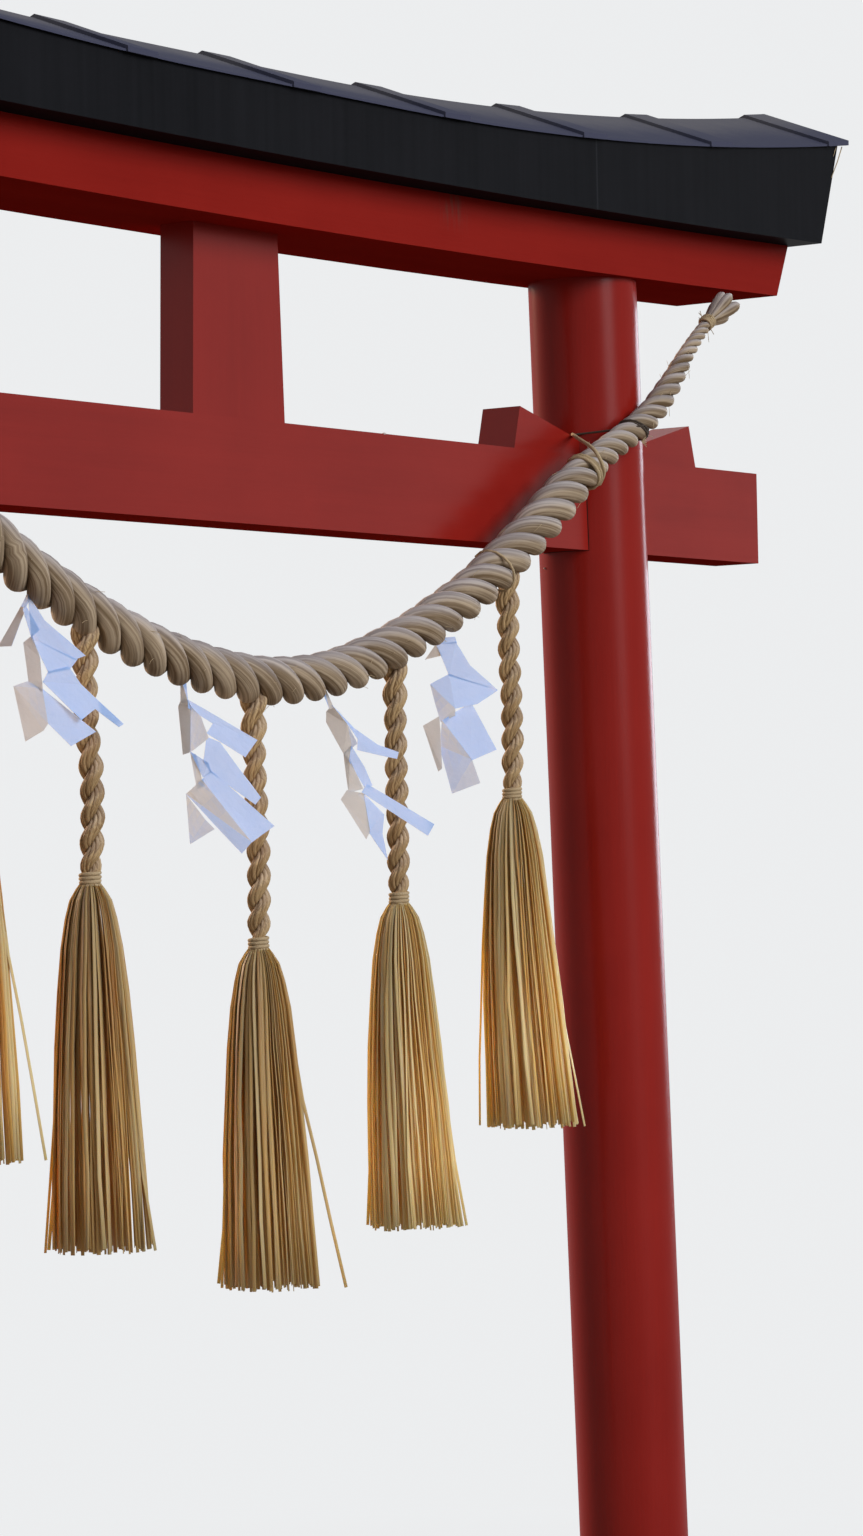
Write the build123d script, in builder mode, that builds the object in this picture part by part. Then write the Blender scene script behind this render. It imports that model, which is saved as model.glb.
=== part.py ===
from build123d import *
from math import atan, cos, degrees, pi, radians, sin, sqrt, tan
import os

# A Shinto shrine gate: two leaning round posts, a wedged tie beam, two curved lintels under a
# sheet-metal roof, and a straw rope with tassels and folded paper hung across the front.
# Millimetres. The front of the gate faces -Y, and the origin is the middle of the right post's foot.

# Posts
POST_DIAMETER = 216
POST_LEAN = 2.1  # degrees, each post leaning in towards the other
POST_SPACING = 2350  # between the axes, at half the height of the tie beam

# Tie beam, and the wedges that lock it in its mortises
BEAM_UNDERSIDE = 2200
BEAM_HEIGHT = 187
BEAM_THICKNESS = 106
BEAM_LENGTH = 3440
BEAM_CHAMFER = 4
WEDGE_HEIGHT = 84
WEDGE_MOUTH = 33  # height of the wedge, and of its slot, at the face of the post
WEDGE_REACH = 193  # from the face of the post to the top corner of the wedge's head
WEDGE_SEAT = 75  # length inside the post
WEDGE_THICKNESS = 88

# Strut between the tie beam and the lower lintel
STRUT_WIDTH = 264
STRUT_TAPER = 1.9  # degrees on each side
STRUT_THICKNESS = 75

# Lower lintel
LINTEL_GAP = 343  # clear height between the tie beam and the middle of the lower lintel
LINTEL_HEIGHT = 107
LINTEL_THICKNESS = 247
LINTEL_LENGTH = 3396  # along the underside
LINTEL_RISE = 21  # of the underside, from the middle to its end
LINTEL_RAKE = 24  # degrees, of the end faces

# Top lintel and its roof
CAP_FACE = 125  # height of the front face at the middle
CAP_THICKNESS = 387
CAP_LENGTH = 3530  # along the underside
CAP_RAKE = 20  # degrees, of the end faces
EAVE_FLAT = 250  # half the length of the straight middle of the eaves
EAVE_RISE = 102  # of the eaves, from the middle to the ends of the underside
ROOF_SLOPE = 21  # degrees, to the front and to the back
SHEET = 4
SHEET_LAP = 8  # how far the sheet stands out over the faces
END_LAP = 24  # and over the ends
BAYS = 8
BATTEN_WIDTH = 80
BATTEN_HEIGHT = 7
BATTEN_LIP = 3  # how far a batten's end folds down over the edge of the sheet

# Straw rope, which drops from post to post: points as (across, height over the tie beam's top).
# The body has one diameter. Each tail tapers to its binding and ends in a tuft, and has a third
# number at each point, its diameter there.
ROPE_DIAMETER = 86
ROPE_GAP = 0.5
ARC_SHARE = 0.45  # of the shorter run beside a bend, taken up by the bend's arc
ROPE_ROUTE = [
    (-960, -123), (-850, -204), (-725, -290), (-465, -400), (-205, -457),
    (55, -463), (315, -400), (575, -285), (735, -189), (870, -97),
]
RIGHT_TAIL = [
    (960, -38, 64), (1050, 11, 56), (1165, 65, 56), (1250, 131, 50),
    (1325, 215, 34), (1405, 283, 24), (1440, 307, 44), (1478, 329, 56),
]
LEFT_TAIL = [
    (-1030, -69, 66), (-1095, -17, 56), (-1180, 51, 56), (-1260, 121, 50),
    (-1335, 207, 34), (-1412, 277, 24), (-1447, 301, 44), (-1485, 323, 56),
]

# Tassels, from left to right: (across, from the rope's middle down to the binding, skirt's length)
TASSELS = [(-865, 449, 620), (-553, 444, 628), (-101, 471, 608), (316, 459, 606), (683, 447, 635)]
TASSEL_CORD = 42
SKIRT_NECK = 44
SKIRT_HEM = 164
SKIRT_FLARE = [(0.06, 76), (0.16, 98), (0.37, 121), (0.65, 144)]  # (share of the length, diameter)
SKIRT_SIDES = 18

# Folded paper streamers, hung from the underside of the rope
STREAMERS = [-685, -334, 73, 470]
STREAMER_TURN = 45  # degrees, turned from the front towards the left
STREAMER_THICKNESS = 2
STREAMER_STRIP = 8
STREAMER_DROP = 25  # clear height of the strip under the rope
PANEL_WIDTH = 100
PANEL_HEIGHT = 90
PANEL_STEP = 32
PANELS = 3

# Twine round each post and the rope in front of it
TIE_HEIGHT = 10
TIE_THICKNESS = 5
TIE_GAP = 0.4
TIE_SPAN = 172  # how far along the rope the twine goes round it
RIGHT_TIE = 67  # height over the tie beam's top
LEFT_TIE = 43

lean = radians(POST_LEAN)
post_radius = POST_DIAMETER / 2
beam_top = BEAM_UNDERSIDE + BEAM_HEIGHT
foot_reach = POST_SPACING / 2 + tan(lean) * (BEAM_UNDERSIDE + BEAM_HEIGHT / 2)
middle = -foot_reach
lintel_under = beam_top + LINTEL_GAP
lintel_top = lintel_under + LINTEL_HEIGHT
eave = lintel_top + CAP_FACE
cap_reach = CAP_LENGTH / 2
ridge_lift = CAP_THICKNESS / 2 * tan(radians(ROOF_SLOPE))
roof_reach = cap_reach + (CAP_FACE + EAVE_RISE - LINTEL_RISE) * tan(radians(CAP_RAKE)) + END_LAP
clear_height = eave + EAVE_RISE + 3 * ridge_lift
elevation = Plane(origin=(middle, 0, 0), x_dir=(1, 0, 0), z_dir=(0, -1, 0))
centre_plane = Plane.YZ.offset(middle)
os.makedirs("parts", exist_ok=True)


def save(piece, name):
    piece.part.label = name
    export_step(piece.part, f"parts/{name}.step")


def circle_radius(half, rise):
    return (half**2 + rise**2) / (2 * rise)


def lintel_lift(across):
    """Height gained by the lintels' long curve at a distance from the middle."""
    radius = circle_radius(LINTEL_LENGTH / 2, LINTEL_RISE)
    return radius - sqrt(radius**2 - across**2)


def eave_lift(across):
    """Height gained by the eaves, straight in the middle and curving up beyond it."""
    radius = circle_radius(cap_reach - EAVE_FLAT, EAVE_RISE)
    return radius - sqrt(radius**2 - max(abs(across) - EAVE_FLAT, 0) ** 2)


def lintel_curve(height, reach):
    """The lintels' curve at a height, as one arc of the elevation."""
    end = height + lintel_lift(reach)
    return ThreePointArc((-reach, end), (0, height), (reach, end))


def eave_curve(height, reach):
    """The eaves' curve at a height: arc, straight, arc."""
    half = (EAVE_FLAT + reach) / 2
    end = height + eave_lift(reach)
    ThreePointArc((-reach, end), (-half, height + eave_lift(half)), (-EAVE_FLAT, height))
    Line((-EAVE_FLAT, height), (EAVE_FLAT, height))
    ThreePointArc((EAVE_FLAT, height), (half, height + eave_lift(half)), (reach, end))
    return end


# Everything above the underside of the lower lintel, which the posts and the strut stop under
with BuildPart() as overhead:
    with BuildSketch(elevation):
        with BuildLine():
            reach = LINTEL_LENGTH / 2
            lintel_curve(lintel_under, reach)
            corner = lintel_under + lintel_lift(reach)
            Polyline((-reach, corner), (-reach, clear_height), (reach, clear_height), (reach, corner))
        make_face()
    extrude(amount=LINTEL_THICKNESS, both=True)

# Right post, with its mortise for the beam and the narrower slot for the wedges
with BuildPart() as right_pillar:
    with BuildSketch(Plane(origin=(0, 0, 0), z_dir=(-sin(lean), 0, cos(lean)))):
        Circle(post_radius)
    extrude(amount=lintel_top, both=True)
    split(bisect_by=Plane.XY, keep=Keep.TOP)
    add(overhead.part, mode=Mode.SUBTRACT)
    with BuildSketch(Plane.YZ):
        with Locations((0, BEAM_UNDERSIDE + BEAM_HEIGHT / 2)):
            Rectangle(BEAM_THICKNESS, BEAM_HEIGHT)
        with Locations((0, beam_top)):
            Rectangle(WEDGE_THICKNESS, WEDGE_MOUTH, align=(Align.CENTER, Align.MIN))
    extrude(amount=2 * POST_DIAMETER, both=True, mode=Mode.SUBTRACT)
save(right_pillar, "right_pillar")

with BuildPart() as left_pillar:
    mirror(right_pillar.part, about=centre_plane)
save(left_pillar, "left_pillar")

# Tie beam through both posts
with BuildPart() as tie_beam:
    with BuildSketch(centre_plane):
        with Locations((0, BEAM_UNDERSIDE + BEAM_HEIGHT / 2)):
            Rectangle(BEAM_THICKNESS, BEAM_HEIGHT)
    extrude(amount=BEAM_LENGTH / 2, both=True)
    chamfer(tie_beam.faces().filter_by(Axis.X).edges(), BEAM_CHAMFER)
save(tie_beam, "tie_beam")


def wedge(side, mouth):
    """A wedge driven into the right post, its head to one side (-1 in, 1 out) of the slot's mouth."""
    slope = (WEDGE_HEIGHT - WEDGE_MOUTH) / WEDGE_REACH
    outline = [
        (-WEDGE_SEAT, 0),
        (WEDGE_REACH + WEDGE_HEIGHT * slope, 0),
        (WEDGE_REACH, WEDGE_HEIGHT),
        (-WEDGE_SEAT, WEDGE_MOUTH - WEDGE_SEAT * slope),
    ]
    with BuildPart() as piece:
        with BuildSketch(Plane(origin=(mouth, 0, beam_top), x_dir=(side, 0, 0), z_dir=(0, -side, 0))):
            with BuildLine():
                Polyline(*outline, close=True)
            make_face()
        extrude(amount=WEDGE_THICKNESS / 2, both=True)
    return piece


# Wedges over the beam, head out on both sides of each post
mouths = {
    "inner": (-1, -tan(lean) * (beam_top + WEDGE_MOUTH) - post_radius / cos(lean)),
    "outer": (1, -tan(lean) * beam_top + post_radius / cos(lean)),
}
for place, (side, mouth) in mouths.items():
    right_wedge = wedge(side, mouth)
    save(right_wedge, f"wedge_right_{place}")
    with BuildPart() as left_wedge:
        mirror(right_wedge.part, about=centre_plane)
    save(left_wedge, f"wedge_left_{place}")

# Tapered strut in the middle
with BuildPart() as centre_strut:
    with BuildSketch(elevation):
        with BuildLine():
            height = LINTEL_GAP + LINTEL_HEIGHT
            inset = height * tan(radians(STRUT_TAPER))
            half = STRUT_WIDTH / 2
            Polyline(
                (-half, beam_top),
                (half, beam_top),
                (half - inset, beam_top + height),
                (-half + inset, beam_top + height),
                close=True,
            )
        make_face()
    extrude(amount=STRUT_THICKNESS / 2, both=True)
    add(overhead.part, mode=Mode.SUBTRACT)
save(centre_strut, "centre_strut")

# Lower lintel: parallel curves, and ends raked outwards
with BuildPart() as lower_lintel:
    with BuildSketch(elevation):
        with BuildLine():
            foot = LINTEL_LENGTH / 2
            head = foot + LINTEL_HEIGHT * tan(radians(LINTEL_RAKE))
            lintel_curve(lintel_under, foot)
            lintel_curve(lintel_top, head)
            for end in (-1, 1):
                Line(
                    (end * foot, lintel_under + lintel_lift(foot)),
                    (end * head, lintel_top + lintel_lift(head)),
                )
        make_face()
    extrude(amount=LINTEL_THICKNESS / 2, both=True)
save(lower_lintel, "lower_lintel")

# Top lintel: its face grows taller towards the ends, and its top slopes to the front and the back
with BuildPart() as top_lintel:
    with BuildSketch(elevation):
        with BuildLine():
            foot = lintel_top + lintel_lift(cap_reach)
            rise = eave + eave_lift(cap_reach) + ridge_lift - foot
            head = cap_reach + rise * tan(radians(CAP_RAKE))
            lintel_curve(lintel_top, cap_reach)
            top = eave_curve(eave + ridge_lift, head)
            Line((-cap_reach, foot), (-head, top))
            Line((cap_reach, foot), (head, top))
        make_face()
    extrude(amount=CAP_THICKNESS / 2, both=True)
    with BuildSketch(elevation.offset(CAP_THICKNESS / 2)) as over_eave:
        with BuildLine():
            wide = head + ridge_lift
            corner = eave_curve(eave, wide)
            Polyline((-wide, corner), (-wide, clear_height), (wide, clear_height), (wide, corner))
        make_face()
    slope = Vector(0, CAP_THICKNESS / 2, ridge_lift)
    front_cut = extrude(over_eave.sketch, amount=slope.length, dir=slope.normalized(), mode=Mode.PRIVATE)
    add(front_cut, mode=Mode.SUBTRACT)
    add(front_cut.mirror(Plane.XZ), mode=Mode.SUBTRACT)
save(top_lintel, "top_lintel")


def roof_skin(lift, thickness, lap, lip=0):
    """A skin over both slopes, lifted above the top lintel, that laps over the faces by lap."""
    half = CAP_THICKNESS / 2 + lap
    drop = lap * tan(radians(ROOF_SLOPE))
    slope = Vector(0, half, half * tan(radians(ROOF_SLOPE)))
    with BuildPart() as skin:
        with BuildSketch(elevation.offset(half)) as edge:
            with BuildLine():
                low = eave_curve(eave + lift - drop, roof_reach)
                high = eave_curve(eave + lift - drop + thickness, roof_reach)
                Line((-roof_reach, low), (-roof_reach, high))
                Line((roof_reach, low), (roof_reach, high))
            make_face()
        extrude(edge.sketch, amount=slope.length, dir=slope.normalized())
        if lip:
            with BuildSketch(elevation.offset(half)) as fold:
                with BuildLine():
                    low = eave_curve(eave + lift - drop - lip, roof_reach)
                    high = eave_curve(eave + lift - drop + thickness / 2, roof_reach)
                    Line((-roof_reach, low), (-roof_reach, high))
                    Line((roof_reach, low), (roof_reach, high))
                make_face()
            extrude(fold.sketch, amount=SHEET, dir=(0, 1, 0))
        mirror(about=Plane.XZ)
    return skin


def between(skin, left, right):
    """The stretch of a skin between two distances from the middle."""
    with BuildPart() as piece:
        add(skin.part)
        with BuildSketch(Plane.XY):
            with Locations((middle + (left + right) / 2, 0)):
                Rectangle(right - left, 2 * CAP_THICKNESS)
        extrude(amount=clear_height, mode=Mode.INTERSECT)
    return piece


# Roof sheets, one to a bay, and the flat battens that cover their joints and the verges
sheet_skin = roof_skin(0, SHEET, SHEET_LAP)
batten_skin = roof_skin(SHEET, BATTEN_HEIGHT, SHEET_LAP + SHEET, lip=BATTEN_LIP)
last_batten = roof_reach - BATTEN_WIDTH / 2
bay = 2 * last_batten / BAYS
for i in range(BAYS):
    left = -roof_reach if i == 0 else -last_batten + i * bay
    right = roof_reach if i == BAYS - 1 else -last_batten + (i + 1) * bay
    save(between(sheet_skin, left, right), f"roof_sheet_{i + 1}")
for i in range(BAYS + 1):
    at = -last_batten + i * bay
    save(between(batten_skin, at - BATTEN_WIDTH / 2, at + BATTEN_WIDTH / 2), f"roof_batten_{i + 1}")

# Straw rope: straight runs joined by tangent arcs, then a tapered tail at each end
tail_diameter = RIGHT_TAIL[2][2]
rope_y = -(post_radius + ROPE_GAP + tail_diameter / 2)


def rope_point(across, height):
    return Vector(middle + across, rope_y, beam_top + height)


route = [rope_point(*point) for point in ROPE_ROUTE]
radii = []
for before, at, after in zip(route, route[1:], route[2:]):
    turn = (at - before).get_angle(after - at)
    radii.append(ARC_SHARE * min((at - before).length, (after - at).length) / tan(radians(turn) / 2))
print("rope radii", [round(radius) for radius in radii])


def tail(points, start, toward):
    """A tapered tail from an end of the body: one circle at each point, square to the way there."""
    places = [start] + [rope_point(across, height) for across, height, _ in points]
    sizes = [ROPE_DIAMETER] + [diameter for _, _, diameter in points]
    ways = [(b - a).normalized() for a, b in zip(places, places[1:])]
    ways = [toward] + [(a + b).normalized() for a, b in zip(ways, ways[1:])] + [ways[-1]]
    with BuildPart() as piece:
        for place, way, size in zip(places, ways, sizes):
            with BuildSketch(Plane(origin=place, x_dir=(0, 1, 0), z_dir=way)):
                Circle(size / 2)
        loft(ruled=True)
    return piece


with BuildPart() as straw_rope:
    with BuildLine() as body_path:
        FilletPolyline(*route, radius=radii)
    with BuildSketch(Plane(origin=route[0], x_dir=(0, 1, 0), z_dir=route[1] - route[0])):
        Circle(ROPE_DIAMETER / 2)
    sweep(path=body_path.wires()[0])
    body_volume = straw_rope.part.volume
    add(tail(RIGHT_TAIL, route[-1], (route[-1] - route[-2]).normalized()).part)
    add(tail(LEFT_TAIL, route[0], (route[0] - route[1]).normalized()).part)
body_length = body_path.wires()[0].length
rope_area = pi * ROPE_DIAMETER**2 / 4
print("rope body", round(body_length), "mm, volume ratio", round(body_volume / (rope_area * body_length), 4))
save(straw_rope, "straw_rope")


def rope_height(across):
    """The rope's middle at a distance from the gate's, as a height over the tie beam's top."""
    for (x0, z0), (x1, z1) in zip(ROPE_ROUTE, ROPE_ROUTE[1:]):
        if x0 <= across <= x1:
            return z0 + (z1 - z0) * (across - x0) / (x1 - x0)


# Tassels: a cord that meets the rope's underside, and a skirt of loose straw below the binding
for i, (across, drop, length) in enumerate(TASSELS):
    binding = rope_point(across, rope_height(across) - drop)
    with BuildPart() as tassel_cord:
        with BuildSketch(Plane(origin=binding)):
            Circle(TASSEL_CORD / 2)
        extrude(amount=drop)
        add(straw_rope.part, mode=Mode.SUBTRACT)
    save(tassel_cord, f"tassel_cord_{i + 1}")
    with BuildPart() as tassel_skirt:
        stations = [(0, SKIRT_NECK), *SKIRT_FLARE, (1, SKIRT_HEM)]
        for (share, diameter), (next_share, next_diameter) in zip(stations, stations[1:]):
            span = (next_share - share) * length
            growth = (next_diameter - diameter) / 2 * cos(pi / SKIRT_SIDES)
            with BuildSketch(Plane(origin=binding - Vector(0, 0, next_share * length))):
                RegularPolygon(next_diameter / 2, SKIRT_SIDES)
            extrude(amount=span, taper=degrees(atan(growth / span)))
    save(tassel_skirt, f"tassel_skirt_{i + 1}")

# Paper streamers: a strip tucked up against the rope, and panels stepping down to one side
for i, across in enumerate(STREAMERS):
    turn = radians(STREAMER_TURN)
    hang = rope_point(across, rope_height(across))
    facing = Plane(origin=hang, x_dir=(cos(turn), -sin(turn), 0), z_dir=(-sin(turn), -cos(turn), 0))
    clear = ROPE_DIAMETER / 2 + STREAMER_DROP
    with BuildPart() as streamer:
        with BuildSketch(facing):
            Rectangle(STREAMER_STRIP, clear + PANEL_HEIGHT / 2, align=(Align.CENTER, Align.MAX))
            for step in range(PANELS):
                with Locations((step * PANEL_STEP - STREAMER_STRIP, -clear - step * PANEL_HEIGHT)):
                    Rectangle(PANEL_WIDTH, PANEL_HEIGHT, align=(Align.MIN, Align.MAX))
        extrude(amount=STREAMER_THICKNESS / 2, both=True)
        add(straw_rope.part, mode=Mode.SUBTRACT)
    save(streamer, f"paper_streamer_{i + 1}")


def post_tie(side, over_beam):
    """A turn of twine round the post on one side and the rope that crosses it."""
    height = beam_top + over_beam
    front = post_radius + ROPE_GAP + tail_diameter
    centre = middle + side * (foot_reach - tan(lean) * height)
    with BuildPart() as piece:
        with BuildSketch(Plane(origin=(centre, 0, height))):
            with BuildSketch(mode=Mode.PRIVATE) as inside:
                Circle(post_radius / cos(lean) + TIE_GAP)
                with Locations((0, -front - TIE_GAP)):
                    Rectangle(TIE_SPAN, tail_diameter, align=(Align.CENTER, Align.MIN))
                make_hull()
            add(inside.sketch)
            offset(amount=TIE_THICKNESS)
            add(inside.sketch, mode=Mode.SUBTRACT)
        extrude(amount=TIE_HEIGHT / 2, both=True)
    return piece


save(post_tie(1, RIGHT_TIE), "right_pillar_tie")
save(post_tie(-1, LEFT_TIE), "left_pillar_tie")
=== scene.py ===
# %% [markdown]
# A shrine gate of red timber under a black sheet-metal roof, with a straw rope, tassels and folded
# paper across its front. The measured timbers come ready made as a frame. This lesson dresses them:
# it twists the rope and its tassel cords, bunches the straw, folds the paper, winds the twine, and
# gives every surface its finish. Lengths are metres where nothing else is said, the front faces -Y,
# and +Z is up.

# %% Load the frame
import bmesh
import bpy
from math import cos, pi, radians, sin, sqrt, tan
from mathutils import Matrix, Vector
from mathutils.geometry import convex_hull_2d
from mathutils.noise import noise
from random import Random


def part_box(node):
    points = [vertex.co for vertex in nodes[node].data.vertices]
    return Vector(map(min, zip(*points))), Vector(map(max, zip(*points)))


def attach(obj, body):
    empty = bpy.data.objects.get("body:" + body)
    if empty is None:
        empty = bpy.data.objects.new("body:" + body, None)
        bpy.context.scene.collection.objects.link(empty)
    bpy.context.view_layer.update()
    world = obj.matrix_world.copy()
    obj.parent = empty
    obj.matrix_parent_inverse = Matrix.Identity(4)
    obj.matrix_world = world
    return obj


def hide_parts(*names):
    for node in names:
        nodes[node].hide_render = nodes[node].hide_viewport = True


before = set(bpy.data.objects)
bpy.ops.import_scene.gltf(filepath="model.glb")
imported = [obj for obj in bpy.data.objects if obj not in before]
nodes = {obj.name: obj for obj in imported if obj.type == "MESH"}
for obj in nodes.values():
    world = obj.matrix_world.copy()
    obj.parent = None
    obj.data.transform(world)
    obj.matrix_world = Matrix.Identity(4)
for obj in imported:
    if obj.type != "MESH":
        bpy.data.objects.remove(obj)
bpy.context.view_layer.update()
print("the frame has", len(nodes), "nodes")

# %% [markdown]
# Everything is placed from a few of the gate's own measures. Three are read from the boxes of its
# parts: where its middle is, how high the tie beam is, and where the rope hangs in front of the
# posts. The lean of the posts and their thickness are known from the timbers' drawing.

# %% Measures of the gate
RIGHT = Vector((1, 0, 0))
BACK = Vector((0, 1, 0))
UP = Vector((0, 0, 1))
POST_LEAN = radians(2.1)
POST_RADIUS = 0.108

beam_low, beam_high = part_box("tie_beam")
rope_low, rope_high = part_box("straw_rope")
middle = (beam_low[0] + beam_high[0]) / 2
beam_top = beam_high[2]
rope_y = (rope_low[1] + rope_high[1]) / 2


def post_axis(side, height):
    """The middle of a post at a height: side is 1 for the right one and -1 for the left one."""
    return Vector((middle + side * (-middle - tan(POST_LEAN) * height), 0, height))


def on_front(across, over_beam):
    """A point in the rope's plane, from millimetres across the gate and over the tie beam."""
    return Vector((middle + across / 1000, rope_y, beam_top + over_beam / 1000))


print("middle", round(middle, 4), "beam top", round(beam_top, 4), "rope plane", round(rope_y, 4))

# %% [markdown]
# The camera stands to the left of the gate at eye height and looks up a little through a long
# lens. Its place and turn were worked out from the straight edges of the timbers, so the gate
# stands in the picture as it did for the photographer. Three turns make its attitude: first
# about its own line of sight, then up, then round to the right.

# %% Camera
CAMERA_PLACE = (-7.715, -5.12, 1.5826)
CAMERA_TURN = 0.944  # this and the next two in radians
CAMERA_LIFT = 0.0214
CAMERA_ROLL = -0.0204
CAMERA_LENS = 108.06  # millimetres
# Level ways, to the right and ahead as the eye sees them.
EYE_RIGHT = Vector((cos(CAMERA_TURN), -sin(CAMERA_TURN), 0))
EYE_AHEAD = Vector((sin(CAMERA_TURN), cos(CAMERA_TURN), 0))


def add_object(name, data):
    """A new object in the scene."""
    made = bpy.data.objects.new(name, data)
    bpy.context.collection.objects.link(made)
    return made


camera_data = bpy.data.cameras.new("camera")
camera_data.lens = CAMERA_LENS
camera = add_object("camera", camera_data)
turned = Matrix.Rotation(-CAMERA_TURN, 4, "Z") @ Matrix.Rotation(pi / 2 + CAMERA_LIFT, 4, "X")
rolled = turned @ Matrix.Rotation(CAMERA_ROLL, 4, "Z")
camera.matrix_world = Matrix.Translation(CAMERA_PLACE) @ rolled
bpy.context.scene.camera = camera
print("camera at", CAMERA_PLACE, "with a lens of", CAMERA_LENS, "mm")

# %% [markdown]
# Many pieces here are long thin things that follow a line: strands, straws, turns of twine. Each
# could be rings of vertices joined one by one, but a curve with a bevel makes the same tube from
# its middle line alone, and takes a radius at every point. So a helper lays many such lines as
# splines of one curve, and makes the whole a mesh. Its vertices come out line by line and ring by
# ring, which lets a number, such as the tone of one straw, be written on each line's own vertices.
# The curve's own end caps would come before all of them, so the ends are closed afterwards, as
# holes.

# %% Lines that become tubes
def make_piece(name, mesh, material, smooth=True):
    """A finished piece of the gate, its place in its mesh, riding on the gate."""
    piece = add_object(name, mesh)
    mesh.polygons.foreach_set("use_smooth", [smooth] * len(mesh.polygons))
    mesh.materials.append(material)
    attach(piece, "root")
    return piece


def mesh_from(shape, name):
    """The mesh of a bmesh, which is freed."""
    mesh = bpy.data.meshes.new(name)
    shape.to_mesh(mesh)
    shape.free()
    return mesh


def mesh_of_curve(curve):
    """The mesh that a curve makes. The curve is removed."""
    holder = bpy.data.objects.new(curve.name, curve)
    mesh = bpy.data.meshes.new_from_object(holder)
    bpy.data.objects.remove(holder)
    bpy.data.curves.remove(curve)
    return mesh


def write(mesh, name, values):
    """Writes a number on each vertex, under a name by which finishes read it."""
    mesh.attributes.new(name, "FLOAT", "POINT").data.foreach_set("value", values)


def tubes(lines, sides=4, tones=None, tilts=None, flat=0):
    """One mesh of closed tubes. A line is a list of (point, radius), and all have as many points.

    With flat, which is their thickness as a share of their width, they are ribbons of six sides.
    """
    curve = bpy.data.curves.new("lines", "CURVE")
    curve.dimensions = "3D"
    curve.extrude = 1 - flat if flat else 0
    curve.bevel_depth = flat or 1
    # A bevel of resolution 0 has four sides, and each step adds two.
    curve.bevel_resolution = 0 if flat else (sides - 4) // 2
    for number, line in enumerate(lines):
        spline = curve.splines.new("POLY")
        spline.points.add(len(line) - 1)
        for control, (point, radius) in zip(spline.points, line):
            control.co = (*point, 1)
            control.radius = radius
            if tilts:
                control.tilt = tilts[number]
    mesh = mesh_of_curve(curve)
    if tones:
        share = len(mesh.vertices) // len(lines)
        write(mesh, "tone", [tone for tone in tones for _ in range(share)])
    closed = bmesh.new()
    closed.from_mesh(mesh)
    bmesh.ops.holes_fill(closed, edges=closed.edges)
    bmesh.ops.recalc_face_normals(closed, faces=closed.faces)
    closed.to_mesh(mesh)
    closed.free()
    return mesh


def join(meshes):
    """One mesh of several, with what was written on their vertices."""
    whole = bmesh.new()
    for part in meshes:
        whole.from_mesh(part)
        bpy.data.meshes.remove(part)
    return mesh_from(whole, "joined")


def smooth_line(points):
    """Points along the NURBS curve that the given points steer, close together."""
    curve = bpy.data.curves.new("route", "CURVE")
    curve.dimensions = "3D"
    curve.resolution_u = 24
    spline = curve.splines.new("NURBS")
    spline.points.add(len(points) - 1)
    for control, point in zip(spline.points, points):
        control.co = (*point, 1)
    spline.order_u = 3
    spline.use_endpoint_u = True
    mesh = mesh_of_curve(curve)
    line = [vertex.co.copy() for vertex in mesh.vertices]
    bpy.data.meshes.remove(mesh)
    return line


def length_of(line):
    return sum((b - a).length for a, b in zip(line, line[1:]))


def at_share(stations, share):
    """The value at a share of the way, from (share, value) stations in order."""
    for (s0, v0), (s1, v1) in zip(stations, stations[1:]):
        if share <= s1:
            return v0 + (v1 - v0) * max(0, share - s0) / (s1 - s0)
    return stations[-1][1]


# %% [markdown]
# Finishes are written as sums. A `Wire` stands for one output of a shader node, and adding,
# subtracting or multiplying it adds the Math node that does so, as `|` does for the larger of two.
# `Wiring` is a tree of nodes, and its call `node` adds every other node, by setting the node's own
# settings first and then its sockets. A `Finish` is the wiring of one material, with calls for what
# finishes often need.

# %% Writing finishes
class Wire:
    """One output of a node, which takes part in sums."""

    def __init__(self, wiring, socket):
        self.wiring = wiring
        self.socket = socket

    def math(self, operation, first, second):
        return self.wiring.node("ShaderNodeMath", {"operation": operation}, {0: first, 1: second})

    def __add__(self, other):
        return self.math("ADD", self, other)

    def __sub__(self, other):
        return self.math("SUBTRACT", self, other)

    def __rsub__(self, other):
        return self.math("SUBTRACT", other, self)

    def __mul__(self, other):
        return self.math("MULTIPLY", self, other)

    def __or__(self, other):
        return self.math("MAXIMUM", self, other)

    def __abs__(self):
        return self.math("ABSOLUTE", self, 0)

    __radd__ = __add__
    __rmul__ = __mul__


class Wiring:
    """A tree of nodes that are added by plain calls."""

    def __init__(self, tree):
        self.tree = tree

    def node(self, kind, settings=None, sockets=None, output=0):
        new = self.tree.nodes.new(kind)
        for name, value in (settings or {}).items():
            if name == "stops":
                self.set_stops(new.color_ramp.elements, value)
            else:
                setattr(new, name, value)
        for key, value in (sockets or {}).items():
            self.feed(new.inputs[key], value)
        return Wire(self, new.outputs[output])

    def set_stops(self, elements, stops):
        """Gives a colour ramp its stops, each a place and a colour. A new ramp has two."""
        for element, (place, tint) in zip(elements, (stops[0], stops[-1])):
            element.position = place
            element.color = tint
        for place, tint in stops[1:-1]:
            elements.new(place).color = tint

    def feed(self, socket, value):
        if isinstance(value, Wire):
            self.tree.links.new(value.socket, socket)
        else:
            socket.default_value = value


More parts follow.
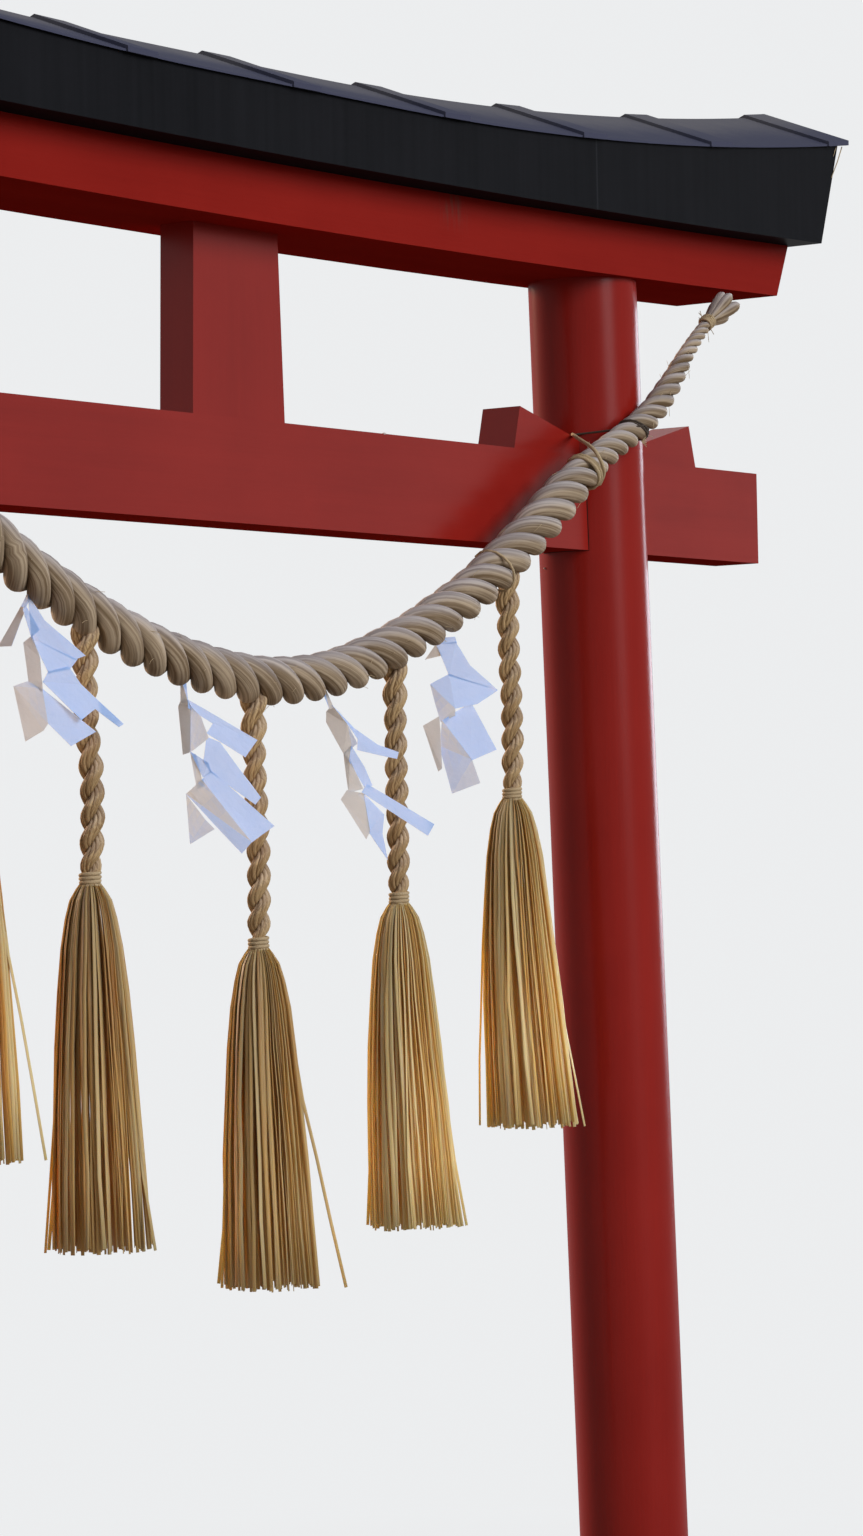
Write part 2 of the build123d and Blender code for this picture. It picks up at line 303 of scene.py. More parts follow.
class Finish(Wiring):
    """A material."""

    def __init__(self, name):
        self.material = bpy.data.materials.new(name)
        self.material.use_nodes = True
        super().__init__(self.material.node_tree)
        self.shader = self.tree.nodes["Principled BSDF"]

    def wear(self, **sockets):
        """Feeds the shader's sockets, with _ for a space: Base_Color is Base Color."""
        for name, value in sockets.items():
            self.feed(self.shader.inputs[name.replace("_", " ")], value)
        return self.material

    def spot(self):
        """Object coordinates in metres."""
        return self.node("ShaderNodeTexCoord", output="Object")

    def facing(self):
        """The way the surface faces."""
        return self.node("ShaderNodeNewGeometry", output="Normal")

    def written(self, name, output="Fac"):
        """What was written on the vertices under this name."""
        return self.node("ShaderNodeAttribute", {"attribute_name": name}, {}, output)

    def part(self, vector, axis):
        """One of the X, Y and Z of a vector."""
        return self.node("ShaderNodeSeparateXYZ", {}, {0: vector}, axis)

    def scaled(self, vector, scale):
        return self.node("ShaderNodeMapping", {}, {"Vector": vector, "Scale": scale})

    def cloud(self, vector, scale, detail=3, roughness=0.55):
        """Noise from 0 to 1, mostly near 0.5."""
        sockets = {"Vector": vector, "Scale": scale, "Detail": detail, "Roughness": roughness}
        return self.node("ShaderNodeTexNoise", {}, sockets)

    def step(self, value, low, high):
        """0 under low, 1 over high, and smooth between."""
        sockets = {"Value": value, "From Min": low, "From Max": high}
        return self.node("ShaderNodeMapRange", {"interpolation_type": "SMOOTHSTEP"}, sockets)

    def mix(self, share, first, second):
        """A colour part of the way from the first to the second."""
        sockets = {0: share, 6: first, 7: second}
        return self.node("ShaderNodeMix", {"data_type": "RGBA"}, sockets, 2)

    def bump(self, height, distance, strength=1.0):
        sockets = {"Strength": strength, "Distance": distance, "Height": height}
        return self.node("ShaderNodeBump", {}, sockets)


def colour(red, green, blue):
    return (red, green, blue, 1)


# %% [markdown]
# The straw rope is laid from three fat strands that turn to the right, like the thread of a screw.
# The straws of a strand run along the strand and turn slowly about its middle, the other way. So
# each vertex of a strand is told its place as if the strand were pulled straight: how far along,
# and how far to each side. A pattern stretched on those numbers draws straws along every strand,
# round every bend, with no seam. Old rice straw is tan and matt. Down in the grooves its colour is
# painted darker, as painted shade, so each vertex is also told how far it lies from the rope's own
# middle. On top the straw is painted grey, as painted cool sky light.

# %% Straw finishes
PAINTED_SKY_GREY = (colour(0.33, 0.3, 0.31), colour(0.68, 0.65, 0.68))  # dark and light straw, painted grey where sky light falls on top


def strand_straw(name, tans, fine, relief, grey, groove):
    """Twisted straw: straws side by side along the strand, each a little lighter or darker.

    The tans are the painted groove shade's, the dark straw's and the light straw's. Grey is how far
    the top is painted sky-grey, and groove is the depths over which the painted shade clears.
    """
    finish = Finish(name)
    laid = finish.written("laid", "Vector")
    tone = finish.written("tone")
    straws = finish.cloud(finish.scaled(laid, (4, fine, fine)), 1, 2, 0.5)
    hairs = finish.cloud(finish.scaled(laid, (14, fine * 4, fine * 4)), 1, 2)
    patch = finish.cloud(finish.spot(), 16, 2)
    share = finish.step(straws, 0.34, 0.66) * 0.55 + hairs * 0.4 + patch * 0.35 + tone * 0.3 - 0.3
    # Painted shade: the colour darkens towards the grooves, by each vertex's depth.
    crown = finish.step(finish.written("depth"), *groove)
    # Painted sky light: faces turned up are painted grey.
    upward = finish.step(finish.part(finish.facing(), "Z"), -0.2, 0.9)
    fresh = finish.mix(share, tans[1], tans[2])
    with_painted_sky_grey = finish.mix(upward * grey, fresh, finish.mix(share, *PAINTED_SKY_GREY))
    return finish.wear(
        Base_Color=finish.mix(crown, tans[0], with_painted_sky_grey),
        Roughness=0.8 - straws * 0.1,
        Normal=finish.bump(straws * 0.7 + hairs * 0.3, relief),
        Specular_IOR_Level=0.18,
    )


# The first tan of each is the painted groove shade.
ROPE_TANS = (colour(0.09, 0.05, 0.022), colour(0.16, 0.1, 0.05), colour(0.64, 0.5, 0.35))
CORD_TANS = (colour(0.13, 0.07, 0.03), colour(0.24, 0.135, 0.055), colour(0.6, 0.42, 0.22))
rope_finish = strand_straw("rope straw", ROPE_TANS, 170, 0.002, 0.75, (0.27, 0.44))
cord_finish = strand_straw("tassel cord straw", CORD_TANS, 260, 0.0005, 0.3, (0.16, 0.34))
print("finishes:", rope_finish.name, "and", cord_finish.name)

# %% [markdown]
# The rope drops from post to post in a deep bow, passes in front of each post, and ends in a thin
# tail that a twine binds before its cut straws spread. One smooth curve carries it from end to end.
# A strand circles that curve: its distance from the middle and its own radius are shares of the
# rope's width there, and the turns come closer together where the rope is thin.

# %% The rope's line
ROPE_WIDTH = 0.086
NECK = 0.024  # the rope's width at its bindings
# Millimetres across from the gate's middle and over the tie beam, and on the tails the width too.
ROPE_ROUTE = [
    (-960, -128), (-850, -216), (-725, -294), (-465, -404), (-205, -466),
    (55, -475), (315, -406), (575, -289), (735, -191), (870, -97),
]
RIGHT_TAIL = [
    (960, -38, 64), (1050, 11, 56), (1165, 65, 56), (1250, 131, 50),
    (1325, 215, 34), (1405, 283, 24), (1440, 307, 44), (1478, 329, 56),
]
LEFT_TAIL = [
    (-1030, -69, 66), (-1095, -17, 56), (-1180, 51, 56), (-1260, 121, 50),
    (-1335, 207, 34), (-1412, 277, 24), (-1447, 301, 44), (-1485, 323, 56),
]
TUFT_POINTS = 3  # the last points of a tail, from its binding on

right_tail = [on_front(across, height) for across, height, _ in RIGHT_TAIL]
left_tail = [on_front(across, height) for across, height, _ in LEFT_TAIL]
body = [on_front(*point) for point in ROPE_ROUTE]
rope_line = smooth_line(left_tail[::-1] + body + right_tail)


def tail_widths(tail):
    """The width of the rope's core along a tail. From the binding on, the tufts cover it."""
    bound = [(across, min(wide / 1000, NECK)) for across, _, wide in tail[-TUFT_POINTS:]]
    return [(across, wide / 1000) for across, _, wide in tail[:-TUFT_POINTS]] + bound


stations = tail_widths(LEFT_TAIL)[::-1] + [(across, ROPE_WIDTH) for across, _ in ROPE_ROUTE]
stations = [(middle + across / 1000, wide) for across, wide in stations + tail_widths(RIGHT_TAIL)]
widths = [at_share(stations, point.x) for point in rope_line]
print("the rope's line has", len(rope_line), "points")

# %% Laid strands
COUNTER_TWIST = 0.3  # how far the straws turn back in their strand while the strand turns once
STRAND_WAVER = 0.1  # how far a strand strays from its even turn, in radians
STRAND_SWELL = 0.07  # how much thicker or thinner a strand is in places
PLUMPNESS = (0.92, 1.1)  # how thin and how thick the straws of a bundle are
STEEP = 0.9  # a line with more of its way upwards takes its sides from another direction


def write_laid(mesh, lines, sides, turns):
    """Writes on each vertex how far along its line it is, and how far to each side of the line.

    The two sideward ways turn about the line by the given angles, one for each of its points.
    """
    laid = []
    for line in lines:
        far = 0
        start = len(laid) // 3
        for ring, (point, _) in enumerate(line):
            ahead = line[min(ring + 1, len(line) - 1)][0]
            behind = line[max(ring - 1, 0)][0]
            way = (ahead - behind).normalized()
            side = way.cross(UP if abs(way.z) < STEEP else RIGHT).normalized()
            up = side.cross(way)
            first = side * cos(turns[ring]) + up * sin(turns[ring])
            second = up * cos(turns[ring]) - side * sin(turns[ring])
            if ring:
                far += (point - line[ring - 1][0]).length
            for number in range(start + ring * sides, start + (ring + 1) * sides):
                away = mesh.vertices[number].co - point
                laid += [far, away.dot(first), away.dot(second)]
    mesh.attributes.new("laid", "FLOAT_VECTOR", "POINT").data.foreach_set("vector", laid)


def laid_strands(
    line, widths, side_way, seed, strands, offset, radius, lay, sides, bundle=(1, 0, 1)
):
    """A mesh of strands wound round a line.

    The strands' offset from the line and their radius are shares of the rope's width, and so is the
    lay, the way in which they go round once. A strand is a bundle of tubes: how many, how far from
    its middle, and how thick, as shares of it. Each vertex is told its depth, which is how far it
    lies from the line as a share of the rope's width.
    """
    chance = Random(seed)
    ways = [(b - a).normalized() for a, b in zip(line, line[1:])]
    ways.append(ways[-1])
    travelled = [0]
    phases = [0]
    for a, b, wide in zip(line, line[1:], widths):
        travelled.append(travelled[-1] + (b - a).length)
        phases.append(phases[-1] + 2 * pi * (b - a).length / (lay * wide))
    count, apart, thick = bundle
    lines = []
    tones = []
    for strand in range(strands):
        drift = chance.random() * 9
        for straw in range(count):
            tones.append(chance.random())
            plump = chance.uniform(*PLUMPNESS) if count > 1 else 1
            path = []
            for point, way, wide, far, phase in zip(line, ways, widths, travelled, phases):
                up = way.cross(side_way).normalized()
                waver = STRAND_WAVER * noise((far * 5, drift, 0))
                angle = phase + 2 * pi * strand / strands + waver
                swell = 1 + STRAND_SWELL * noise((far * 14, drift, 3))
                about = 2 * pi * straw / count + drift - COUNTER_TWIST * phase
                centre = point + (side_way * cos(angle) + up * sin(angle)) * wide * offset
                centre += (side_way * cos(about) + up * sin(about)) * wide * radius * apart
                path.append((centre, wide * radius * swell * thick * plump))
            lines.append(path)
    mesh = tubes(lines, sides, tones)
    write_laid(mesh, lines, sides, [-COUNTER_TWIST * phase for phase in phases])
    share = len(mesh.vertices) // len(lines)
    rings = [number % share // sides for number in range(len(mesh.vertices))]
    write(mesh, "depth", [
        (vertex.co - line[ring]).length / widths[ring]
        for vertex, ring in zip(mesh.vertices, rings)
    ])
    return mesh


# %% Rope
ROPE_LAY = {"strands": 3, "offset": 0.272, "radius": 0.232, "lay": 2.2, "sides": 20}

rope_mesh = laid_strands(rope_line, widths, BACK, 4, **ROPE_LAY)
rope = make_piece("laid_straw_rope", rope_mesh, rope_finish)
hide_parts("straw_rope")
rope_length = length_of(rope_line)
print("rope", round(rope_length, 3), "m,", len(rope_mesh.polygons), "faces")

# %% [markdown]
# Each tassel hangs on a cord of two strands that comes out of the rope's underside, sways a little,
# and ends in a binding of twine with the skirt of loose straw below it. The cord is heavy with its
# skirt, so it hangs almost straight. Its straws are as broad as a finger nail against strands that
# are hardly thicker than a finger, so here a strand is a real bundle: eight straws side by side.

# %% Tassel cords
# Millimetres: a tassel's place across the gate, how far its cord ends under the rope's middle, and
# the length of its skirt.
TASSELS = [(-865, 449, 620), (-553, 444, 628), (-101, 461, 608), (316, 453, 606), (683, 445, 635)]
CORD_WIDTH = 0.042
CORD_ROOT = 22  # millimetres under the rope's middle where a cord begins
CORD_SWAY = [0.004, 0.008, 0.004, -0.003, 0.004]  # to the right, and half as much the other way
CORD_LAY = {
    "strands": 2, "offset": 0.205, "radius": 0.29, "lay": 2.05, "sides": 8,
    "bundle": (8, 0.68, 0.38),
}
CORD_SHAPE = [(0, 1.15), (0.12, 1.1), (0.2, 1), (0.93, 1), (1, 0.72)]  # share down, of its width


def rope_height(across):
    """The rope's middle over the tie beam, in millimetres, at a distance from the gate's middle."""
    return at_share(ROPE_ROUTE, across)


cords = []
bindings = []
for number, ((across, drop, _), sway) in enumerate(zip(TASSELS, CORD_SWAY)):
    top = on_front(across, rope_height(across) - CORD_ROOT)
    low = on_front(across, rope_height(across) - drop)
    bend = Vector((sway, -abs(sway), 0))
    line = smooth_line([top, top.lerp(low, 0.3) - bend / 2, top.lerp(low, 0.7) + bend, low])
    wide = [CORD_WIDTH * at_share(CORD_SHAPE, i / (len(line) - 1)) for i in range(len(line))]
    mesh = laid_strands(line, wide, RIGHT, 20 + number, **CORD_LAY)
    piece = make_piece(f"laid_tassel_cord_{number + 1}", mesh, cord_finish)
    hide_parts(f"tassel_cord_{number + 1}")
    cords.append((piece, line))
    bindings.append(low)
print("a tassel cord has", len(line), "rings and", len(mesh.polygons), "faces")

# %% [markdown]
# A winding of twine is one line that goes round and round while it climbs. It is worked out as a
# helix about the thing that it binds, with a little unevenness, because hands wound it.

# %% Windings
UNEVEN_CLIMB = 0.16  # this and the next as shares of the twine's thickness
UNEVEN_ROUND = 0.12
TWINE_SIDES = 8


def winding(centre, way, seed, radius, turns, thick, rise, around=16):
    """A twine wound about a centre, square to the way, as a line for tubes()."""
    chance = Random(seed)
    way = way.normalized()
    first = way.orthogonal().normalized()
    second = way.cross(first)
    line = []
    for i in range(turns * around + 1):
        angle = 2 * pi * i / around
        out = first * cos(angle) + second * sin(angle)
        uneven = thick * UNEVEN_CLIMB * (chance.random() - 0.5)
        climb = (i / (turns * around) - 0.5) * rise + uneven
        away = radius + thick * UNEVEN_ROUND * (chance.random() - 0.5)
        line.append((centre + way * climb + out * away, thick / 2))
    return line


def twine_finish_of(name, dark, light):
    finish = Finish(name)
    fibres = finish.cloud(finish.scaled(finish.spot(), (900, 900, 900)), 1, 3)
    return finish.wear(
        Base_Color=finish.mix(fibres, dark, light),
        Roughness=0.85,
        Normal=finish.bump(fibres, 0.0015),
    )


straw_twine = twine_finish_of("straw twine", colour(0.3, 0.2, 0.1), colour(0.8, 0.62, 0.38))
dark_twine = twine_finish_of("dark twine", colour(0.02, 0.014, 0.01), colour(0.09, 0.06, 0.04))
print("finishes:", straw_twine.name, "and", dark_twine.name)

# %% Tassel bindings
TASSEL_BINDING = {"radius": 0.016, "turns": 4, "thick": 0.0068, "rise": 0.026}
BINDING_DROP = 0.004  # how far the middle of a binding lies under the end of its cord

for number, (low, (piece, line)) in enumerate(zip(bindings, cords)):
    turns = winding(low - UP * BINDING_DROP, UP, 40 + number, **TASSEL_BINDING)
    mesh = tubes([turns], TWINE_SIDES)
    tie = make_piece(f"tassel_binding_{number + 1}", mesh, straw_twine)
    length_of(line)
print("tassel cords", [round(length_of(line), 3) for _, line in cords])

# %% [markdown]
# The straws of a tassel are one bunch, pinched by the binding. They bulge out below it, hang side
# by side, and spread at the hem, where they are cut at about one level. Each is pressed flat, so it
# is a ribbon that lies along the round of the bunch. Painted shade darkens the straw near the
# binding and throughout the left tassels. They are laid in rings from the core outwards, and drawn
# into clumps, so that inner straws show between the pale outer ones, painted darker as shade in the
# bunch and orange as light glowing through. A few escape, and stand off the bunch to one side.

# %% The skirts' straw
PAINTED_SHADE_STRAW = colour(0.14, 0.115, 0.08)
# Low tones are painted shade and a painted orange glow of light through straw; high tones are the
# straw's own cream.
STRAW_TONES_AND_PAINTED_GLOW = [
    (0, colour(0.32, 0.13, 0.04)),
    (0.2, colour(0.72, 0.31, 0.07)),
    (0.42, colour(0.9, 0.5, 0.15)),
    (1, colour(0.98, 0.7, 0.34)),
]


def skirt_straw():
    finish = Finish("skirt straw")
    down = finish.cloud(finish.scaled(finish.spot(), (340, 340, 5)), 1, 2)
    blotch = finish.cloud(finish.scaled(finish.spot(), (40, 40, 4)), 1, 2)
    # Painted shade: fall makes the straw lighter lower down, darker near the binding.
    share = finish.written("tone") * 0.85 + down * 0.3 + blotch * 0.3 + finish.written("fall") * 0.3
    straw_and_glow = finish.node("ShaderNodeValToRGB", {"stops": STRAW_TONES_AND_PAINTED_GLOW}, {0: share - 0.3})
    # Painted light and shade: the written share mixes from shaded straw to the lit colours.
    return finish.wear(
        Base_Color=finish.mix(finish.written("fresh"), PAINTED_SHADE_STRAW, straw_and_glow),
        Roughness=0.5,
        Normal=finish.bump(down, 0.0006),
        Specular_IOR_Level=0.3,
        Subsurface_Weight=0.35,
        Subsurface_Radius=(1.0, 0.55, 0.2),
        Subsurface_Scale=0.012,
    )


skirt_finish = skirt_straw()
print("finish:", skirt_finish.name)

# %% Straws of a skirt
# The radius of the bunch at shares of the way down, and the shares at which a straw has points.
SKIRT_PROFILE = [
    (0, 0.0145), (0.03, 0.028), (0.06, 0.037), (0.16, 0.049), (0.37, 0.0605), (0.65, 0.072),
    (1, 0.08),
]
STRAW_STATIONS = [0, 0.02, 0.05, 0.1, 0.18, 0.3, 0.45, 0.62, 0.8, 1]
STRAW_RINGS = [(0.3, 14), (0.55, 24), (0.78, 34), (0.9, 38), (1, 42)]  # how far out, how many
STRAW_FLAT = 0.2
STRAW_WIDTHS = (0.0026, 0.0043)
STRAY_WIDTH = 0.003
STRAW_START = 0.008  # how far the straws begin under the end of the cord
STRAW_WAVER = 0.0022
STRAW_TWIST = 0.12  # how far a straw may turn round the bunch on its way down, in radians
STRAW_WANDER = 0.07  # how far it strays from that turn
DRIFT_POWER = 1.6  # the wind bends the hem more than the top
RIBBON_SIDES = 6
CLUMPS = 9


def straw_line(low, lean, length, angle, share, wide, stray, chance):
    """The middle line of one straw of a skirt, from the binding to the hem."""
    leaves, off = stray
    twist = chance.uniform(-STRAW_TWIST, STRAW_TWIST)
    swing = share * chance.uniform(0.95, 1.03)
    phase = chance.uniform(0, 40)
    line = []
    for station in STRAW_STATIONS:
        out = at_share(SKIRT_PROFILE, station) * swing
        out += STRAW_WAVER * noise((phase, station * 4, share)) * min(1, station * 5)
        out += off * max(0, station - leaves) / (1 - leaves)
        drawn = 0.5 / CLUMPS * sin(CLUMPS * angle + 7 * share) * min(1, station * 2)
        turn = angle + drawn + twist * station
        turn += STRAW_WANDER * noise((station * 4, phase, share))
        drift = Vector((lean[0], lean[1], 0)) * station**DRIFT_POWER
        spot = Vector((out * cos(turn), out * sin(turn), -STRAW_START - station * length))
        line.append((low + drift + spot, wide * min(1, 0.5 + station * 2)))
    return line


def skirt(low, length, lean, strays, pale, fresh, seed):
    """The straws of one tassel, from its binding down.

    Their hem leans that way. By so much they are paler than others, and so much painted light they
    get at the binding and from the middle down, the rest being painted shade.
    """
    chance = Random(seed)
    lines = []
    tones = []
    tilts = []
    places = []
    for share, count in STRAW_RINGS:
        for i in range(count):
            angle = 2 * pi * (i + chance.uniform(-0.3, 0.3)) / count
            places.append((angle, share, (0, 0), chance.uniform(*STRAW_WIDTHS)))
    for side, leaves, off, about in strays:
        angle = (-CAMERA_TURN if side > 0 else pi - CAMERA_TURN) + about
        places.append((angle, 1, (leaves, off), STRAY_WIDTH))
    for angle, share, stray, wide in places:
        reach = length * chance.uniform(0.98, 1.0)
        lines.append(straw_line(low, lean, reach, angle, share, wide, stray, chance))
        # Inner rings get low tones: painted shade inside the bunch and painted orange glow.
        tones.append(chance.random() ** 0.7 * (0.2 + 0.8 * share**2) + pale)
        tilts.append(-angle - pi / 2 + chance.uniform(-0.5, 0.5))
    mesh = tubes(lines, RIBBON_SIDES, tones, tilts, STRAW_FLAT)
    fall = [station for _ in lines for station in STRAW_STATIONS for _ in range(RIBBON_SIDES)]
    # Painted light: from its value at the binding to its value from the middle down.
    stages = [(0, fresh[0]), (0.6, fresh[1]), (1, fresh[1])]
    write(mesh, "fall", fall)
    write(mesh, "fresh", [at_share(stages, station) for station in fall])
    return mesh


# %% Tassel skirts
SKIRT_TUCK = 0.01  # how much of a skirt's length is hidden in its binding
# For each tassel: how much paler its straws are, how much painted light they get at the binding and
# from the middle down, and how far its hem has blown, along the gate and in depth.
SKIRT_PALE = [0, -0.05, -0.05, 0.2, 0.2]
SKIRT_PAINTED_LIGHT = [(0.5, 0.8), (0.36, 0.6), (0.38, 0.6), (0.6, 1), (0.42, 1)]
SKIRT_LEAN = [(0.004, 0.0), (0.006, -0.005), (0.009, -0.008), (0.013, -0.012), (0.02, -0.018)]
# Straws that stand apart: to the right (1) or left (-1) as the eye sees it, from which share of the
# way down, how far off at the hem in metres, and where on the round, in radians from that side.
STRAYS = [
    [(1, 0.4, 0.04, 0.0), (-1, 0.7, 0.01, 0.2)],
    [(-1, 0.7, 0.014, 0.1), (-1, 0.8, 0.01, -0.2), (1, 0.75, 0.016, 0.0), (1, 0.85, 0.008, 0.3)],
    [(1, 0.4, 0.05, 0.0), (-1, 0.6, 0.008, 0.1), (-1, 0.8, 0.012, -0.2)],
    [(1, 0.75, 0.012, 0.1), (1, 0.85, 0.006, -0.2), (-1, 0.85, 0.008, 0.1)],
    [(-1, 0.35, 0.018, 0.0), (-1, 0.3, 0.009, 0.25), (-1, 0.4, 0.011, -0.3), (1, 0.6, 0.02, 0.0),
     (1, 0.7, 0.012, 0.3)],
]

tassels = zip(TASSELS, bindings, SKIRT_LEAN, STRAYS, SKIRT_PALE, SKIRT_PAINTED_LIGHT)
for number, ((_, _, length), low, *manner) in enumerate(tassels):
    mesh = skirt(low, length / 1000 - SKIRT_TUCK, *manner, seed=60 + number)
    piece = make_piece(f"straw_skirt_{number + 1}", mesh, skirt_finish)
    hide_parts(f"tassel_skirt_{number + 1}")
print("a skirt has", len(mesh.polygons), "faces")

# %% [markdown]
# At each end of the rope a twine binds its strands, and beyond the twine their cut ends open into a
# few fat tufts with rounded tips, like the petals of a bud. Each tuft is one tube that swells and
# closes again, and the tufts lean apart.

# %% Rope ends
TUFT_SHAPE = [
    (0, 0.005), (0.2, 0.008), (0.45, 0.0108), (0.7, 0.0122), (0.88, 0.0108), (0.97, 0.0065),
    (1, 0.0028),
]
TUFTS = 8
TUFT_SIDES = 16
TUFT_RINGS = 15
TUFT_ROOT = 0.004  # how far from the tail's middle a tuft starts
TUFT_SPREAD = (0.017, 0.025)
INNER_SPREAD = 0.2  # every fourth tuft stays near the middle
TUFT_DEPTH = 0.5  # so far from the rope's middle that no tuft gets the painted groove shade
END_BINDING = {"radius": 0.0135, "turns": 4, "thick": 0.0055, "rise": 0.022}
FRAYED_ENDS = 9
FRAYED_ROOT = 0.012  # how far from the tail's middle a frayed end starts
FRAYED_LENGTHS = (0.008, 0.02)
FRAYED_RADIUS = 0.0008


def rope_end(points, seed):
    """The bound end of a tail: its tufts, and its windings."""
    chance = Random(seed)
    neck, _, tip = points[-TUFT_POINTS:]
    way = (tip - neck).normalized()
    first = way.orthogonal().normalized()
    second = way.cross(first)
    reach = (tip - neck).length
    lines = []
    for i in range(TUFTS):
        angle = 2 * pi * (i + chance.uniform(-0.2, 0.2)) / TUFTS
        out = first * cos(angle) + second * sin(angle)
        long = reach * chance.uniform(0.88, 1.04)
        apart = chance.uniform(*TUFT_SPREAD) * (1 if i % 4 else INNER_SPREAD)
        line = []
        for step in range(TUFT_RINGS):
            share = step / (TUFT_RINGS - 1)
            spot = neck + way * (long * share) + out * (TUFT_ROOT + apart * share**1.1)
            line.append((spot, at_share(TUFT_SHAPE, share)))
        lines.append(line)
    tufts = tubes(lines, TUFT_SIDES, [chance.random() for _ in lines])
    write_laid(tufts, lines, TUFT_SIDES, [0] * TUFT_RINGS)
    write(tufts, "depth", [TUFT_DEPTH] * len(tufts.vertices))
    turns = winding(neck, way, seed + 1, **END_BINDING)
    frayed = []
    for _ in range(FRAYED_ENDS):
        swing = chance.uniform(0, 2 * pi)
        out = first * cos(swing) + second * sin(swing)
        root = neck + out * FRAYED_ROOT
        aim = (out + way * chance.uniform(-0.4, 1)).normalized()
        long = chance.uniform(*FRAYED_LENGTHS)
        frayed.append([(root + aim * (long * share), FRAYED_RADIUS) for share in (0, 0.5, 1)])
    return tufts, join([tubes([turns], TWINE_SIDES), tubes(frayed)])


for side, points, seed in (("right", right_tail, 80), ("left", left_tail, 84)):
    tufts, turns = rope_end(points, seed)
    make_piece(f"rope_tufts_{side}", tufts, rope_finish)
    make_piece(f"rope_end_binding_{side}", turns, straw_twine)
print("rope ends with", TUFTS, "tufts each")

# %% [markdown]
# A paper streamer is a sheet that is slit from alternate sides and folded over at each slit, so it
# steps down like lightning. Folded double, it opens into two legs, one to each side, and the wind
# curls them. Cloth simulation would let them hang limp, but stiff paper keeps its creases, so each
# panel is a face laid from its corners, as they are seen from the camera's side: to the right,
# down, and towards the eye, in millimetres from where the strip leaves the rope. The corners of
# panels that share a crease are the same, and the panels are then divided, curled and given a
# thickness.

# %% The streamers' panels
STREAMERS = [(-685, -22, -16), (-297, 0, -8), (93, 0, -28), (470, -3, 9)]  # across, right and down
PANELS = [
    [
        [(-4, -8, 0), (5, -8, 0), (6, 25, 4), (-1, 22, 2)],
        [(-3, 4, -6), (4, 14, 0), (-14, 87, -4), (-36, 87, -26)],
        [(0, 6, 4), (40, 49, -4), (100, 103, -24), (82, 110, -16), (20, 74, 2)],
        [(6, 25, 4), (30, 61, 0), (20, 74, 2), (5, 31, 6)],
        [(20, 77, 2), (87, 111, -16), (77, 125, -10), (46, 133, 6)],
        [(46, 133, 6), (77, 125, -6), (96, 155, -12), (159, 217, -26), (152, 222, -22),
         (116, 192, -8), (96, 210, 4), (37, 150, 8)],
        [(5, 85, -12), (20, 74, 2), (30, 111, 6), (34, 162, 4), (12, 150, -10)],
        [(-12, 157, -14), (11, 149, -10), (34, 162, 2), (116, 230, -14), (77, 253, 0),
         (43, 215, 4)],
        [(-12, 157, -14), (41, 215, 2), (34, 227, 0), (5, 244, -18)],
    ],
    [
        [(-4, -8, 0), (4, -8, 0), (7, 32, 4), (-5, 34, -8)],
        [(7, 32, 4), (121, 99, -24), (101, 128, -14), (39, 87, -2), (50, 73, -6), (9, 46, 4)],
        [(-5, 34, -8), (7, 32, 4), (12, 44, 5), (10, 118, 4), (-3, 122, -10), (-9, 43, -18)],
        [(12, 46, 5), (29, 62, 10), (40, 95, 10), (10, 119, -6)],
        [(38, 96, -2), (60, 106, -8), (125, 198, -22), (116, 210, -18), (44, 154, 0), (34, 137, 2)],
        [(10, 120, -4), (38, 140, 2), (44, 154, 0), (31, 162, 2)],
        [(10, 123, -6), (19, 126, -2), (31, 176, 0), (20, 180, -6)],
        [(31, 169, 4), (46, 154, 0), (147, 248, -24), (109, 275, -10)],
        [(3, 193, -14), (31, 172, 2), (109, 275, 6), (92, 294, 2)],
        [(3, 193, -14), (31, 237, -4), (47, 252, 0), (7, 276, -16)],
    ],
    [
        [(-3, -8, 0), (4, -8, 0), (21, 34, 4), (14, 38, 0)],
        [(21, 34, 4), (59, 75, -6), (96, 102, -14), (134, 116, -22), (131, 128, -18), (91, 118, -8),
         (64, 111, -2), (66, 93, -4), (44, 63, 2)],
        [(21, 35, 2), (10, 45, -12), (10, 63, -16), (38, 117, -8), (53, 107, 2), (62, 100, 6),
         (44, 68, 6)],
        [(39, 118, -8), (53, 107, 2), (73, 143, -4), (87, 175, -10), (73, 177, -6), (50, 134, 0)],
        [(39, 122, -8), (50, 131, 0), (71, 181, 2), (46, 186, -12)],
        [(80, 175, 2), (196, 247, -24), (184, 267, -16), (71, 190, 6)],
        [(44, 186, -12), (71, 190, 4), (82, 256, 4), (75, 271, 0), (33, 202, -18)],
        [(73, 193, 4), (107, 231, -12), (103, 261, -14), (112, 309, -20), (82, 259, 2)],
    ],
    [
        [(-11, -6, 0), (20, -8, 0), (24, 3, 2), (-11, 6, 2)],
        [(-30, 31, -18), (-11, 6, 2), (-4, 25, 0)],
        [(-11, 6, 2), (24, 3, 2), (50, 43, -8), (102, 88, -26), (14, 62, 2)],
        [(-21, 79, 0), (14, 62, 2), (102, 88, -26), (62, 114, -8), (24, 120, 6)],
        [(-21, 79, 0), (21, 124, 8), (21, 136, 8), (-4, 147, -8)],
        [(0, 147, 4), (52, 115, -10), (97, 199, -24), (50, 219, 0)],
        [(-37, 157, -20), (-7, 140, 0), (-4, 232, -2), (-11, 238, -8)],
        [(0, 147, 4), (50, 219, 4), (65, 261, 6), (14, 279, -14), (-7, 194, -12)],
    ],
]

# %% [markdown]
# The paper is white. Panels turned to the open sky on the right are painted blue, as painted sky
# light, and the others stay a warm white. So the finish reads which way the paper faces.

